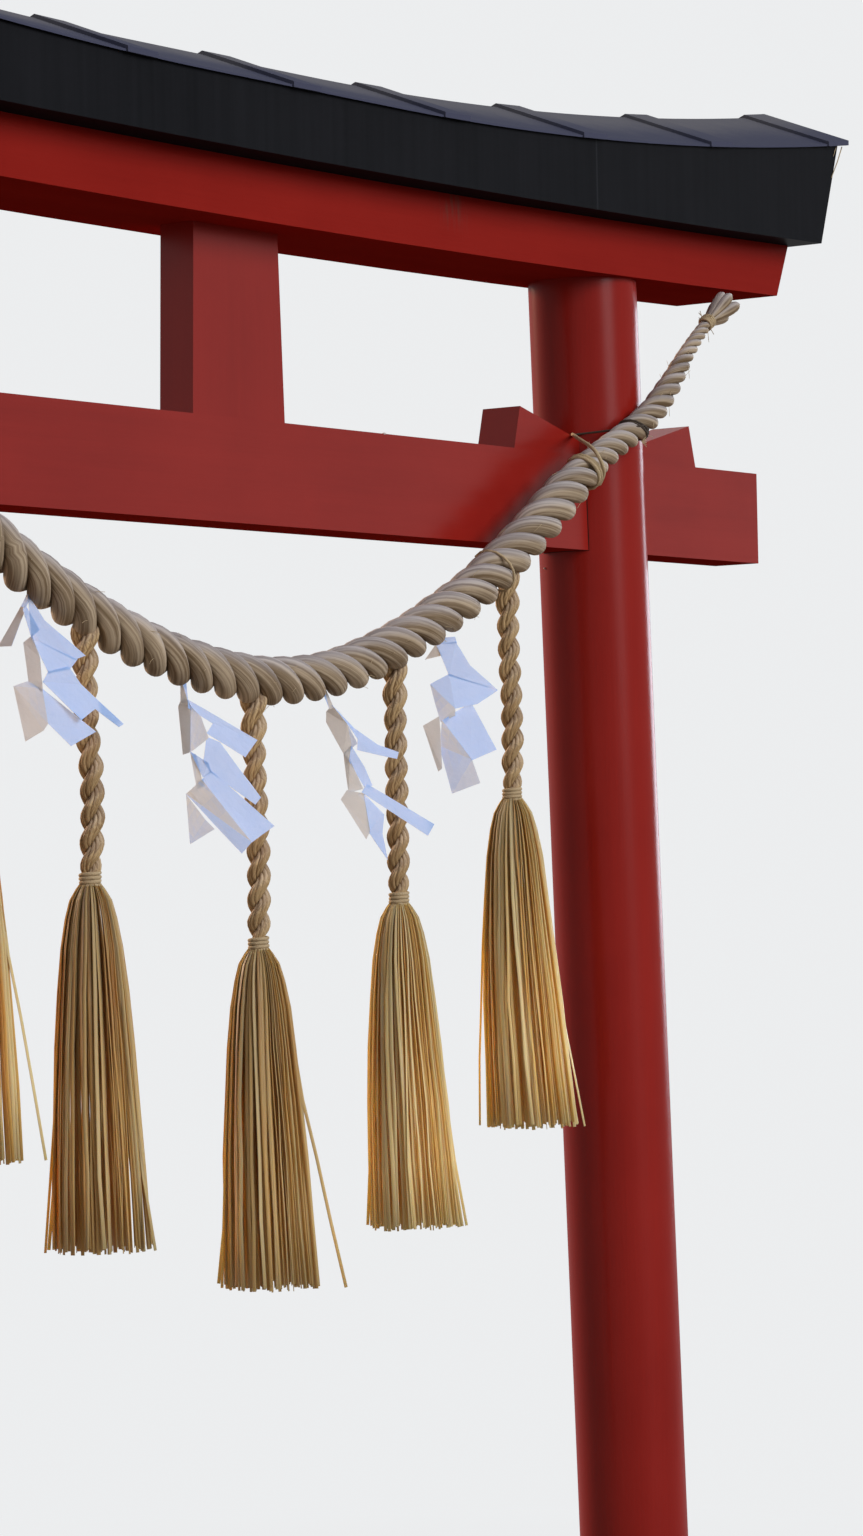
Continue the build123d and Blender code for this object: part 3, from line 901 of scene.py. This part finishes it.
# %% Paper
OPEN_SKY = Vector((0.587, -0.81, 0))  # the way to it: across the gate and forward
PAPER_PAINTED_SKY_BLUE = (colour(0.3, 0.48, 0.94), colour(0.4, 0.58, 0.98))
WARM_PAPER = (colour(0.8, 0.78, 0.78), colour(0.88, 0.87, 0.87))


def paper_finish():
    finish = Finish("white paper")
    fibres = finish.cloud(finish.spot(), 420, 3, 0.6)
    patch = finish.cloud(finish.spot(), 14, 3)
    crinkle = finish.cloud(finish.spot(), 38, 3, 0.6)
    facing = {0: finish.facing(), 1: OPEN_SKY}
    facing_sky = finish.node("ShaderNodeVectorMath", {"operation": "DOT_PRODUCT"}, facing, "Value")
    share = fibres * 0.3 + patch * 0.7
    warm = finish.mix(share, *WARM_PAPER)
    return finish.wear(
        # Painted sky light: panels that face the open sky take the blue.
        Base_Color=finish.mix(finish.step(facing_sky, -0.12, 0.2), warm, finish.mix(share, *PAPER_PAINTED_SKY_BLUE)),
        Roughness=0.6,
        Normal=finish.bump(crinkle + fibres * 0.06, 0.0016, 0.6),
        Specular_IOR_Level=0.3,
        Subsurface_Weight=0.3,
        Subsurface_Radius=(1.0, 0.9, 0.8),
        Subsurface_Scale=0.01,
    )


# %% Paper streamers
PAPER_THICKNESS = 0.0006
PAPER_CURL = 0.004
PAPER_CREASE = 0.0036  # corners nearer than this are one
PAPER_LAP = 2.4  # millimetres by which a panel reaches past each edge, over its neighbour
PAPER_GIVE = 40  # millimetres down over which a strip reaches its shift to the side
PAPER_TURN = radians(32)
paper_across = Vector((cos(PAPER_TURN), -sin(PAPER_TURN), 0))
paper_toward = Vector((-sin(PAPER_TURN), -cos(PAPER_TURN), 0))


def paper_corner(hang, right, down, toward):
    """A corner of a panel, moved along the paper's plane until it is seen where it should be."""
    along = (right - toward * paper_toward.dot(EYE_RIGHT)) / paper_across.dot(EYE_RIGHT)
    return hang + (paper_across * along + paper_toward * toward) / 1000 - UP * (down / 1000)


def lapped(panel):
    """The corners of a panel, moved out from its middle."""
    middle_right = sum(right for right, _, _ in panel) / len(panel)
    middle_down = sum(down for _, down, _ in panel) / len(panel)
    corners = []
    for right, down, toward in panel:
        out = Vector((right - middle_right, down - middle_down)).normalized() * PAPER_LAP
        corners.append((right + out.x, down + out.y, toward))
    return corners


paper = paper_finish()
for number, ((across, right, down), panels) in enumerate(zip(STREAMERS, PANELS)):
    hang = on_front(across, rope_height(across)) - UP * (ROPE_WIDTH / 2)
    folded = bmesh.new()
    for panel in panels:
        moved = [
            (x + right * min(1, y / PAPER_GIVE + 0.2), y + down, z) for x, y, z in lapped(panel)
        ]
        folded.faces.new([folded.verts.new(paper_corner(hang, *corner)) for corner in moved])
    bmesh.ops.remove_doubles(folded, verts=folded.verts, dist=PAPER_CREASE)
    bmesh.ops.triangulate(folded, faces=folded.faces)
    bmesh.ops.subdivide_edges(folded, edges=folded.edges, cuts=3, use_grid_fill=True)
    area = sum(face.calc_area() for face in folded.faces)
    for vertex in folded.verts:
        vertex.co += paper_toward * PAPER_CURL * noise(vertex.co * 14)
    bmesh.ops.solidify(folded, geom=folded.faces[:], thickness=PAPER_THICKNESS)
    bmesh.ops.recalc_face_normals(folded, faces=folded.faces)
    mesh = mesh_from(folded, "folded paper")
    piece = make_piece(f"folded_streamer_{number + 1}", mesh, paper, smooth=False)
    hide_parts(f"paper_streamer_{number + 1}")
    print("streamer", number + 1, "area", round(area, 4))

# %% [markdown]
# Twine ties the rope to each post. It goes round the post and over the front of the rope, and a few
# turns bite on the rope alone. The loop about the post and the rope is the tight outline of a
# circle and the rope beside it, which a convex hull finds.

# %% Twine round the posts
TWINE_RISE = 0.012  # how much higher the twine lies where it crosses the rope
ROPE_HALF = 0.029  # the rope's radius where it crosses a post


def rope_at(across):
    """The rope's middle and its way at a distance from the gate's middle, in millimetres."""
    place = middle + across / 1000
    number = min(range(len(rope_line) - 1), key=lambda i: abs(rope_line[i].x - place))
    return rope_line[number], (rope_line[number + 1] - rope_line[number]).normalized()


def circle(x, y, radius, count):
    angles = [2 * pi * i / count for i in range(count)]
    return [Vector((x + radius * cos(angle), y + radius * sin(angle))) for angle in angles]


def post_turns(side, over_beam, beside, turns, thick):
    """Turns of twine round a post and the rope, which passes beside the post's middle."""
    height = beam_top + over_beam
    axis = post_axis(side, height)
    outline = circle(0, 0, POST_RADIUS, 80) + circle(beside, rope_y, ROPE_HALF, 24)
    hull = [outline[i] for i in convex_hull_2d(outline)]
    line = []
    for turn in range(turns):
        for number, point in enumerate(hull):
            front = max(0, -point.y - POST_RADIUS) / (ROPE_HALF - rope_y - POST_RADIUS)
            climb = (turn + number / len(hull)) * thick * 0.9 + TWINE_RISE * front
            place = point * (1 + thick / 2 / point.length)
            line.append((Vector((axis.x + place.x, place.y, height + climb)), thick / 2))
    return line


# %% Ties
TIES = {"right": (1, 1124, 0.037), "left": (-1, -1108, 0.03)}  # side, crossing, over the beam
POST_TWINE = 0.0042
BITE = {"radius": 0.03, "turns": 2, "thick": 0.0046, "rise": 0.011}
BITE_TILT = 0.9
LOOP_ACROSS = 950
LOOP = {"radius": 0.0355, "turns": 2, "thick": 0.0075, "rise": 0.015}
# The lashing's own end, in millimetres: along the gate, in depth and up. It comes round the post
# over the wedge, counted from the gate's middle and the beam's top, and then lies over the rope,
# counted from the rope's middle.
LEAD_FROM_POST = [(1066, -32, 42), (1040, -52, 38), (985, -100, 24)]
LEAD_OVER_ROPE = [(-13, -32, 43), (-4, -44, 16), (19, -36, -8), (30, -14, -24)]
LEAD_RADIUS = 0.0037
# Only on the right: a frayed bit of the lashing, and one loose turn further down the rope.
FRAYED_BIT = Vector((0.172, -0.021, 0.068))
FRAYED_HAIRS = 6
LOOSE_TURN_ACROSS = 640
LOOSE_TURN = {"radius": 0.0435, "turns": 1, "thick": 0.005, "rise": 0.006}


def frayed_bit(root):
    """A few fine hairs that spread from a root."""
    ways = [Vector((0.012, -0.004, 0.004 * i - 0.01)) for i in range(FRAYED_HAIRS)]
    return tubes([[(root + way * share, 0.0007) for share in (0, 0.5, 1)] for way in ways])


for word, (side, crossing, over_beam) in TIES.items():
    point, way = rope_at(crossing)
    beside = point.x - post_axis(side, beam_top + over_beam).x
    round_post = post_turns(side, over_beam, beside, 1, POST_TWINE)
    bite = winding(point, way + UP * BITE_TILT, 90 + side, **BITE)
    twines = join([tubes([round_post], TWINE_SIDES), tubes([bite], TWINE_SIDES)])
    piece = make_piece(f"post_twine_{word}", twines, dark_twine)
    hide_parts(f"{word}_pillar_tie")

    point, way = rope_at(side * LOOP_ACROSS)
    loop = winding(point, way, 95 + side, **LOOP)
    lead = [Vector((middle + side * across / 1000, depth / 1000, beam_top + over / 1000))
            for across, depth, over in LEAD_FROM_POST]
    lead += [point + Vector((side * across, depth, over)) / 1000
             for across, depth, over in LEAD_OVER_ROPE]
    lead = [(spot, LEAD_RADIUS) for spot in smooth_line(lead)]
    parts = [tubes([loop], TWINE_SIDES), tubes([lead], TWINE_SIDES)]
    if side > 0:
        loose = winding(*rope_at(LOOSE_TURN_ACROSS), 100, **LOOSE_TURN)
        parts += [frayed_bit(point + FRAYED_BIT), tubes([loose], TWINE_SIDES)]
    make_piece(f"rope_lashing_{word}", join(parts), straw_twine)
print("the rope is tied to", len(TIES), "posts")

# %% [markdown]
# Old straw sheds. A few fibres stand off the rope, short and almost as thin as hair, and two stray
# straws hang from the right end of the roof, where the wind has left them. They are small, but a
# rope without them looks like plastic.

# %% Loose fibres and stray straws
FIBRES = 130
FIBRE_LENGTHS = (0.008, 0.032)
FIBRE_RADIUS = 0.0004
BARE_ENDS = 40  # points of the rope's line at each end that no fibre leaves
BATTEN_CORNER = Vector((-0.008, 0.012, 0.004))  # from the last batten's end, front and underside
# Millimetres along the gate and up from that corner, and the straw's radius.
STRAY_STRAWS = [
    [(0, 4, 1.2), (-20, -30, 1.2), (-46, -66, 1)],
    [(-20, 4, 0.9), (-28, -6, 0.9), (-36, -20, 0.8)],
]

chance = Random(7)
fibres = []
for _ in range(FIBRES):
    number = chance.randrange(BARE_ENDS, len(rope_line) - BARE_ENDS)
    point = rope_line[number]
    way = (rope_line[number + 1] - point).normalized()
    swing = chance.uniform(0, 2 * pi)
    out = BACK * cos(swing) + way.cross(BACK).normalized() * sin(swing)
    root = point + out * widths[number] * 0.46
    aim = (way * chance.choice((-1, 1)) + out * chance.uniform(0.1, 0.7)).normalized()
    long = chance.uniform(*FIBRE_LENGTHS)
    droop = -UP * long * chance.uniform(0, 0.4)
    fibres.append([
        (root + aim * (long * share) + droop * share**2, FIBRE_RADIUS)
        for share in (0, 0.35, 0.7, 1)
    ])
make_piece("rope_fibres", tubes(fibres), straw_twine)

batten_low, batten_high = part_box("roof_batten_9")
corner = Vector((batten_high[0], batten_low[1], batten_low[2])) + BATTEN_CORNER
strays = [
    [(corner + Vector((across, 0, over)) / 1000, radius / 1000) for across, over, radius in straw]
    for straw in STRAY_STRAWS
]
make_piece("stray_straws", tubes(strays, 6), straw_twine)
print(len(fibres), "fibres and", len(strays), "stray straws")

# %% [markdown]
# Where a timber passes through a post, the carpenter leaves the mortise a hair too wide, and the
# slit reads as a dark line. Each is a thin dark bead laid round the beam where its faces meet the
# round post. A post that leans is an ellipse where it is cut level, and that gives the place of the
# bead. The same dark bead along the foot of each wedge is painted shade, where the wedge sits.

# %% Joint lines and painted shade
BEAM_HALF = (beam_high[1] - beam_low[1]) / 2
BEAD_RADIUS = 0.0014
GAP_STEPS = 12
WEDGE_STEPS = 48
WEDGE_INSET = 0.004  # a line under a wedge stops short of its ends
wedges = [f"wedge_{word}_{place}" for word in ("right", "left") for place in ("inner", "outer")]


def dark_gap_and_shade():
    # The bead is a dark joint at the posts and painted shade under the wedges.
    finish = Finish("dark gap")
    dirt = finish.cloud(finish.spot(), 120, 3)
    return finish.wear(
        Base_Color=finish.mix(dirt, colour(0.006, 0.003, 0.003), colour(0.03, 0.012, 0.01)),
        Roughness=0.9,
        Specular_IOR_Level=0.1,
    )


def on_post(side, way, depth, height):
    """A point on the skin of a post: way is 1 for the side away from the middle of the gate."""
    reach = sqrt(POST_RADIUS**2 - depth**2) / cos(POST_LEAN)
    return post_axis(side, height) + RIGHT * (side * way * reach) + BACK * depth


corners = [(BEAM_HALF, beam_low[2]), (-BEAM_HALF, beam_low[2]),
           (-BEAM_HALF, beam_top), (BEAM_HALF, beam_top)]
joint_and_shade_lines = []
for side, way in ((1, 1), (1, -1), (-1, 1), (-1, -1)):
    line = []
    for (y0, z0), (y1, z1) in zip(corners, corners[1:] + corners[:1]):
        for i in range(GAP_STEPS):
            depth = y0 + (y1 - y0) * i / GAP_STEPS
            height = z0 + (z1 - z0) * i / GAP_STEPS
            line.append((on_post(side, way, depth, height), BEAD_RADIUS))
    joint_and_shade_lines.append(line + line[:1])
# Painted shade: a dark bead under each wedge, where it sits on the beam.
for name in wedges:
    low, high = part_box(name)
    for depth in (low[1], high[1]):
        start = Vector((low[0] + WEDGE_INSET, depth, beam_top))
        end = Vector((high[0] - WEDGE_INSET, depth, beam_top))
        joint_and_shade_lines.append([
            (start.lerp(end, i / WEDGE_STEPS), BEAD_RADIUS / 2) for i in range(WEDGE_STEPS + 1)
        ])
make_piece("joint_and_shade_lines", tubes(joint_and_shade_lines, 6), dark_gap_and_shade())
print(len(joint_and_shade_lines), "joint lines")

# %% [markdown]
# Where wood was driven against wood the paint has sprung off in small pale flakes: at the foot of a
# wedge, on the top edge of the beam, and on the post just under the beam. They are little flat
# stones of a few faces, made from an icosphere that is squashed on to the surface.

# %% Paint flakes
FLAKE = 0.0022
FLAKE_SHAPE = (1.3, 1, 0.6)  # along the gate, in depth and up, as shares of its size
FLAKES_UNDER_WEDGE = (0.2, 0.3, 0.36, 0.6, 0.68)  # shares of the wedge's depth
FLAKE_ON_BEAM = 0.414  # from the gate's middle
FLAKE_UNDER_BEAM = 0.03
FLAKE_ROUND_POST = (-0.911, -0.412)  # to the eye's right and away from it, in radii of the post


def flake_finish():
    finish = Finish("sprung paint")
    dirt = finish.cloud(finish.spot(), 700, 2)
    return finish.wear(
        Base_Color=finish.mix(dirt, colour(0.45, 0.3, 0.27), colour(0.8, 0.72, 0.68)),
        Roughness=0.7,
        Normal=finish.bump(dirt, 0.0004),
    )


low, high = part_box("wedge_right_inner")
to_right, ahead = FLAKE_ROUND_POST
on_round = EYE_RIGHT * to_right + EYE_AHEAD * ahead
spots = [
    post_axis(1, beam_low[2] - FLAKE_UNDER_BEAM) + on_round * POST_RADIUS,
    Vector((middle + FLAKE_ON_BEAM, beam_low[1] + 0.001, beam_top)),
]
for share in FLAKES_UNDER_WEDGE:
    spots.append(Vector((low[0] + 0.003, low[1] + (high[1] - low[1]) * share, beam_top)))
flakes = bmesh.new()
for number, spot in enumerate(spots):
    size = FLAKE * (1.5 + noise((number * 3.7, 0, 0)))
    half = [size * share for share in FLAKE_SHAPE]
    squashed = Matrix.Translation(spot) @ Matrix.Diagonal((*half, 1))
    bmesh.ops.create_icosphere(flakes, subdivisions=1, radius=1, matrix=squashed)
make_piece("paint_flakes", mesh_from(flakes, "flakes"), flake_finish())
print(len(spots), "flakes")

# %% [markdown]
# The timbers are painted red, thick enough to hide the wood but not its grain, which shows through
# as fine lines along each timber. Weather has faded the paint in broad patches. Its gloss is a thin
# coat over a matt colour. It is worn off the undersides, which stay deep and dull. The pattern
# reads the gate's own coordinates, drawn out along the timber's length, so it runs on from face to
# face as real grain does. Under the roof a little grime has washed down the front of the lintel.

# %% Red paint
PAINT_DEEP = colour(0.2, 0.007, 0.0045)
PAINT_FADED = colour(0.37, 0.021, 0.014)
DUST = colour(0.34, 0.2, 0.16)
GRIME = colour(0.13, 0.05, 0.04)
GRIME_ACROSS = 0.55  # from the gate's middle
GRIME_OVER_BEAM = 0.46
ALONG_X = 0
ALONG_Z = 2


def grime_mask(finish):
    """Short runs of grime on the front of the lintel, at one place under the roof."""
    across = finish.part(finish.spot(), "X") - (middle + GRIME_ACROSS)
    height = finish.part(finish.spot(), "Z") - (beam_top + GRIME_OVER_BEAM)
    near = 1 - finish.step(abs(across), 0.015, 0.07)
    low = 1 - finish.step(abs(height), 0.02, 0.09)
    runs = finish.cloud(finish.scaled(finish.spot(), (150, 150, 14)), 1, 3)
    return near * low * finish.step(runs, 0.42, 0.66) * 0.55


def red_paint(name, along, gloss):
    """Red paint over grain that runs along one axis."""
    finish = Finish(name)
    fine = [260, 260, 260]
    fine[along] = 5
    broad = [16, 16, 16]
    broad[along] = 0.8
    grain = finish.cloud(finish.scaled(finish.spot(), fine), 1, 4, 0.6)
    streak = finish.cloud(finish.scaled(finish.spot(), broad), 1, 3)
    patch = finish.cloud(finish.spot(), 2.6, 4, 0.6)
    speck = finish.cloud(finish.spot(), 190, 2)
    up = finish.part(finish.facing(), "Z")
    share = patch * 0.6 + streak * 0.4 + grain * 0.2 - 0.15
    painted = finish.mix(share, PAINT_DEEP, PAINT_FADED)
    dusty = finish.step(up, 0.75, 0.98) * finish.step(patch * 0.6 + speck * 0.5, 0.45, 0.8) * 0.35
    marked = finish.step(speck, 0.71, 0.76) * 0.5
    base = finish.mix(marked, finish.mix(dusty, painted, DUST), PAINT_DEEP)
    if along == ALONG_X:
        base = finish.mix(grime_mask(finish), base, GRIME)
    return finish.wear(
        Base_Color=base,
        Roughness=0.6 + grain * 0.1,
        Normal=finish.bump(grain * 0.8 + patch * 0.2, 0.00035),
        Specular_IOR_Level=0.0,
        Coat_Weight=finish.step(up, -0.6, -0.1) * gloss,
        Coat_Roughness=0.25,
    )


def dress(names, material):
    """Gives CAD nodes a finish."""
    for name in names:
        mesh = nodes[name].data
        mesh.materials.clear()
        mesh.materials.append(material)


dress(["right_pillar", "left_pillar"], red_paint("red paint on the posts", ALONG_Z, 0.22))
dress(["centre_strut"], red_paint("red paint on the strut", ALONG_Z, 0.45))
dress(["tie_beam"] + wedges, red_paint("red paint on the beam and wedges", ALONG_X, 0.45))
dress(["lower_lintel"], red_paint("red paint on the lintel", ALONG_X, 0.08))
print("painted", 5 + len(wedges), "timbers")

# %% [markdown]
# The top lintel is wrapped in sheet metal, painted black, and so is the roof. The upright faces
# stay clean and dark with faint runs of rain. The slopes gather brown dust towards the ridge, where
# rain washes least, and are blue-black at the eaves, black with a painted blue sheen of the sky.
# Thin sheet is never quite flat, so a broad shallow wave bends what it mirrors.

# %% Black sheet metal
SHEET_BLACK = colour(0.004, 0.0045, 0.006)
SHEET_WORN = colour(0.016, 0.016, 0.02)
SEAM_GREY = colour(0.024, 0.026, 0.03)
ROOF_BLACK_AND_SKY_SHEEN = colour(0.07, 0.073, 0.115)
ROOF_DUST = colour(0.15, 0.145, 0.165)
SEAM_ACROSS = 0.931  # from the middle of the gate to a seam of the sheet on the lintel


def upright_sheet():
    finish = Finish("black sheet on upright faces")
    runs = finish.cloud(finish.scaled(finish.spot(), (60, 60, 1.5)), 1, 3)
    patch = finish.cloud(finish.spot(), 3, 4, 0.6)
    wave = finish.cloud(finish.spot(), 2.2, 1)
    from_seam = abs(abs(finish.part(finish.spot(), "X") - middle) - SEAM_ACROSS)
    seam = (1 - finish.step(from_seam, 0.001, 0.004)) * 0.6
    sheet = finish.mix(runs * 0.5 + patch * 0.5 - 0.25, SHEET_BLACK, SHEET_WORN)
    return finish.wear(
        Base_Color=finish.mix(seam, sheet, SEAM_GREY),
        Roughness=0.6,
        Normal=finish.bump(wave - seam * 0.05, 0.006, 0.5),
        Specular_IOR_Level=0.0,
        Coat_Weight=0.12,
        Coat_Roughness=0.35,
    )


def sloped_sheet():
    finish = Finish("black sheet on the roof")
    ridge = 1 - finish.step(abs(finish.part(finish.spot(), "Y")), 0.02, 0.19)
    patch = finish.cloud(finish.spot(), 5, 5, 0.65)
    speck = finish.cloud(finish.spot(), 140, 3, 0.7)
    wave = finish.cloud(finish.spot(), 3, 1)
    dust = finish.step(ridge * 0.55 + patch * 0.6 + speck * 0.2, 0.42, 1.05)
    # Painted reflection: the blue is the sky's sheen on the black sheet.
    return finish.wear(
        Base_Color=finish.mix(dust, ROOF_BLACK_AND_SKY_SHEEN, ROOF_DUST),
        Roughness=0.65 + dust * 0.2,
        Normal=finish.bump(wave + speck * 0.03, 0.008, 0.5),
        Specular_IOR_Level=0.0,
        Coat_Weight=0.06,
        Coat_Roughness=0.3,
    )


roof_names = [name for name in nodes if name.startswith("roof_")]
dress(["top_lintel"], upright_sheet())
dress(roof_names, sloped_sheet())
print("black sheet on", 1 + len(roof_names), "nodes")

# %% [markdown]
# The studio is a wide pale floor under a pale sky. Three very broad suns light it: a cool key from
# the front and rather low, a cool one almost level from the right, which draws the bright line down
# the right edge of a post, and a warm one from behind, which draws a thin glow along the left edges
# as the eye sees them. A sun is as bright at the foot of a post as at its top, and it lights the
# whole floor alike, so the floor can be matched to the sky. It is lit and shaded only about the
# gate, and its own colour makes up there for the warm sun's tint. To the light that bounces up
# under the lintels the floor is darker than it looks, as packed earth would be.

# %% Floor and sky
PALE = colour(0.84, 0.85, 0.86)
LIT_PALE = colour(0.84, 0.92, 0.99)
EARTH = colour(0.2, 0.19, 0.17)
FLOOR_HALF = 60
FLOOR_GLOW = 0.45  # how much of the floor by the gate glows by itself, so that shadows stay light
FLOOR_FADE = (1.3, 3.2)  # how far from the gate's middle the lit floor begins and ends to fade
SKY_LIGHT = 0.3  # the strength of the sky's own light on the gate


def seen_or_mirrored(wiring):
    """1 for rays from the camera, mirrored or let through, otherwise 0."""
    seen, mirrored, let_through = (
        wiring.node("ShaderNodeLightPath", output=f"Is {kind} Ray")
        for kind in ("Camera", "Glossy", "Transmission")
    )
    return seen | mirrored | let_through


def floor_finish():
    finish = Finish("pale floor")
    seen = seen_or_mirrored(finish)
    ends = {0: finish.spot(), 1: (middle, 0, 0)}
    from_middle = finish.node("ShaderNodeVectorMath", {"operation": "DISTANCE"}, ends, "Value")
    fade = finish.step(from_middle, *FLOOR_FADE) * (1 - FLOOR_GLOW) + FLOOR_GLOW
    finish.wear(
        Base_Color=finish.mix(seen, EARTH, LIT_PALE),
        Roughness=0.95,
        Specular_IOR_Level=0.1,
    )
    lit = Wire(finish, finish.shader.outputs[0])
    glow = finish.node("ShaderNodeEmission", {}, {"Color": PALE, "Strength": 1.0})
    whole = finish.node("ShaderNodeMixShader", {}, {0: fade * seen, 1: lit, 2: glow})
    finish.feed(finish.tree.nodes["Material Output"].inputs["Surface"], whole)
    return finish.material


ground = bmesh.new()
bmesh.ops.create_grid(ground, x_segments=1, y_segments=1, size=FLOOR_HALF)
ground_mesh = mesh_from(ground, "floor")
ground_mesh.materials.append(floor_finish())
add_object("floor", ground_mesh)

world = bpy.data.worlds.new("sky")
world.use_nodes = True
bpy.context.scene.world = world
sky = Wiring(world.node_tree)
strength = sky.node("ShaderNodeMapRange", {}, {"Value": seen_or_mirrored(sky), "To Min": SKY_LIGHT})
background = sky.tree.nodes["Background"]
sky.feed(background.inputs["Color"], PALE)
sky.feed(background.inputs["Strength"], strength)


# %% Lamps
def sun(name, toward, strength, tint, spread):
    """A broad sun that stands in a direction from the gate, and spreads over so many degrees."""
    data = bpy.data.lights.new(name, "SUN")
    data.energy = strength
    data.color = tint
    data.angle = radians(spread)
    light = add_object(name, data)
    light.matrix_world = (-Vector(toward)).to_track_quat("-Z", "Y").to_matrix().to_4x4()


sun("key sun", (-0.05, -0.9, 0.34), 2.1, (0.93, 0.96, 1.0), 36)
sun("right sun", (1.0, 0.1, 0.06), 1.8, (0.8, 0.88, 1.0), 24)
sun("warm sun", (0.12, 0.98, 0.3), 3.4, (1.0, 0.72, 0.5), 16)
bpy.context.scene.view_settings.view_transform = "Standard"
print("lit by", len(bpy.data.lights), "suns")
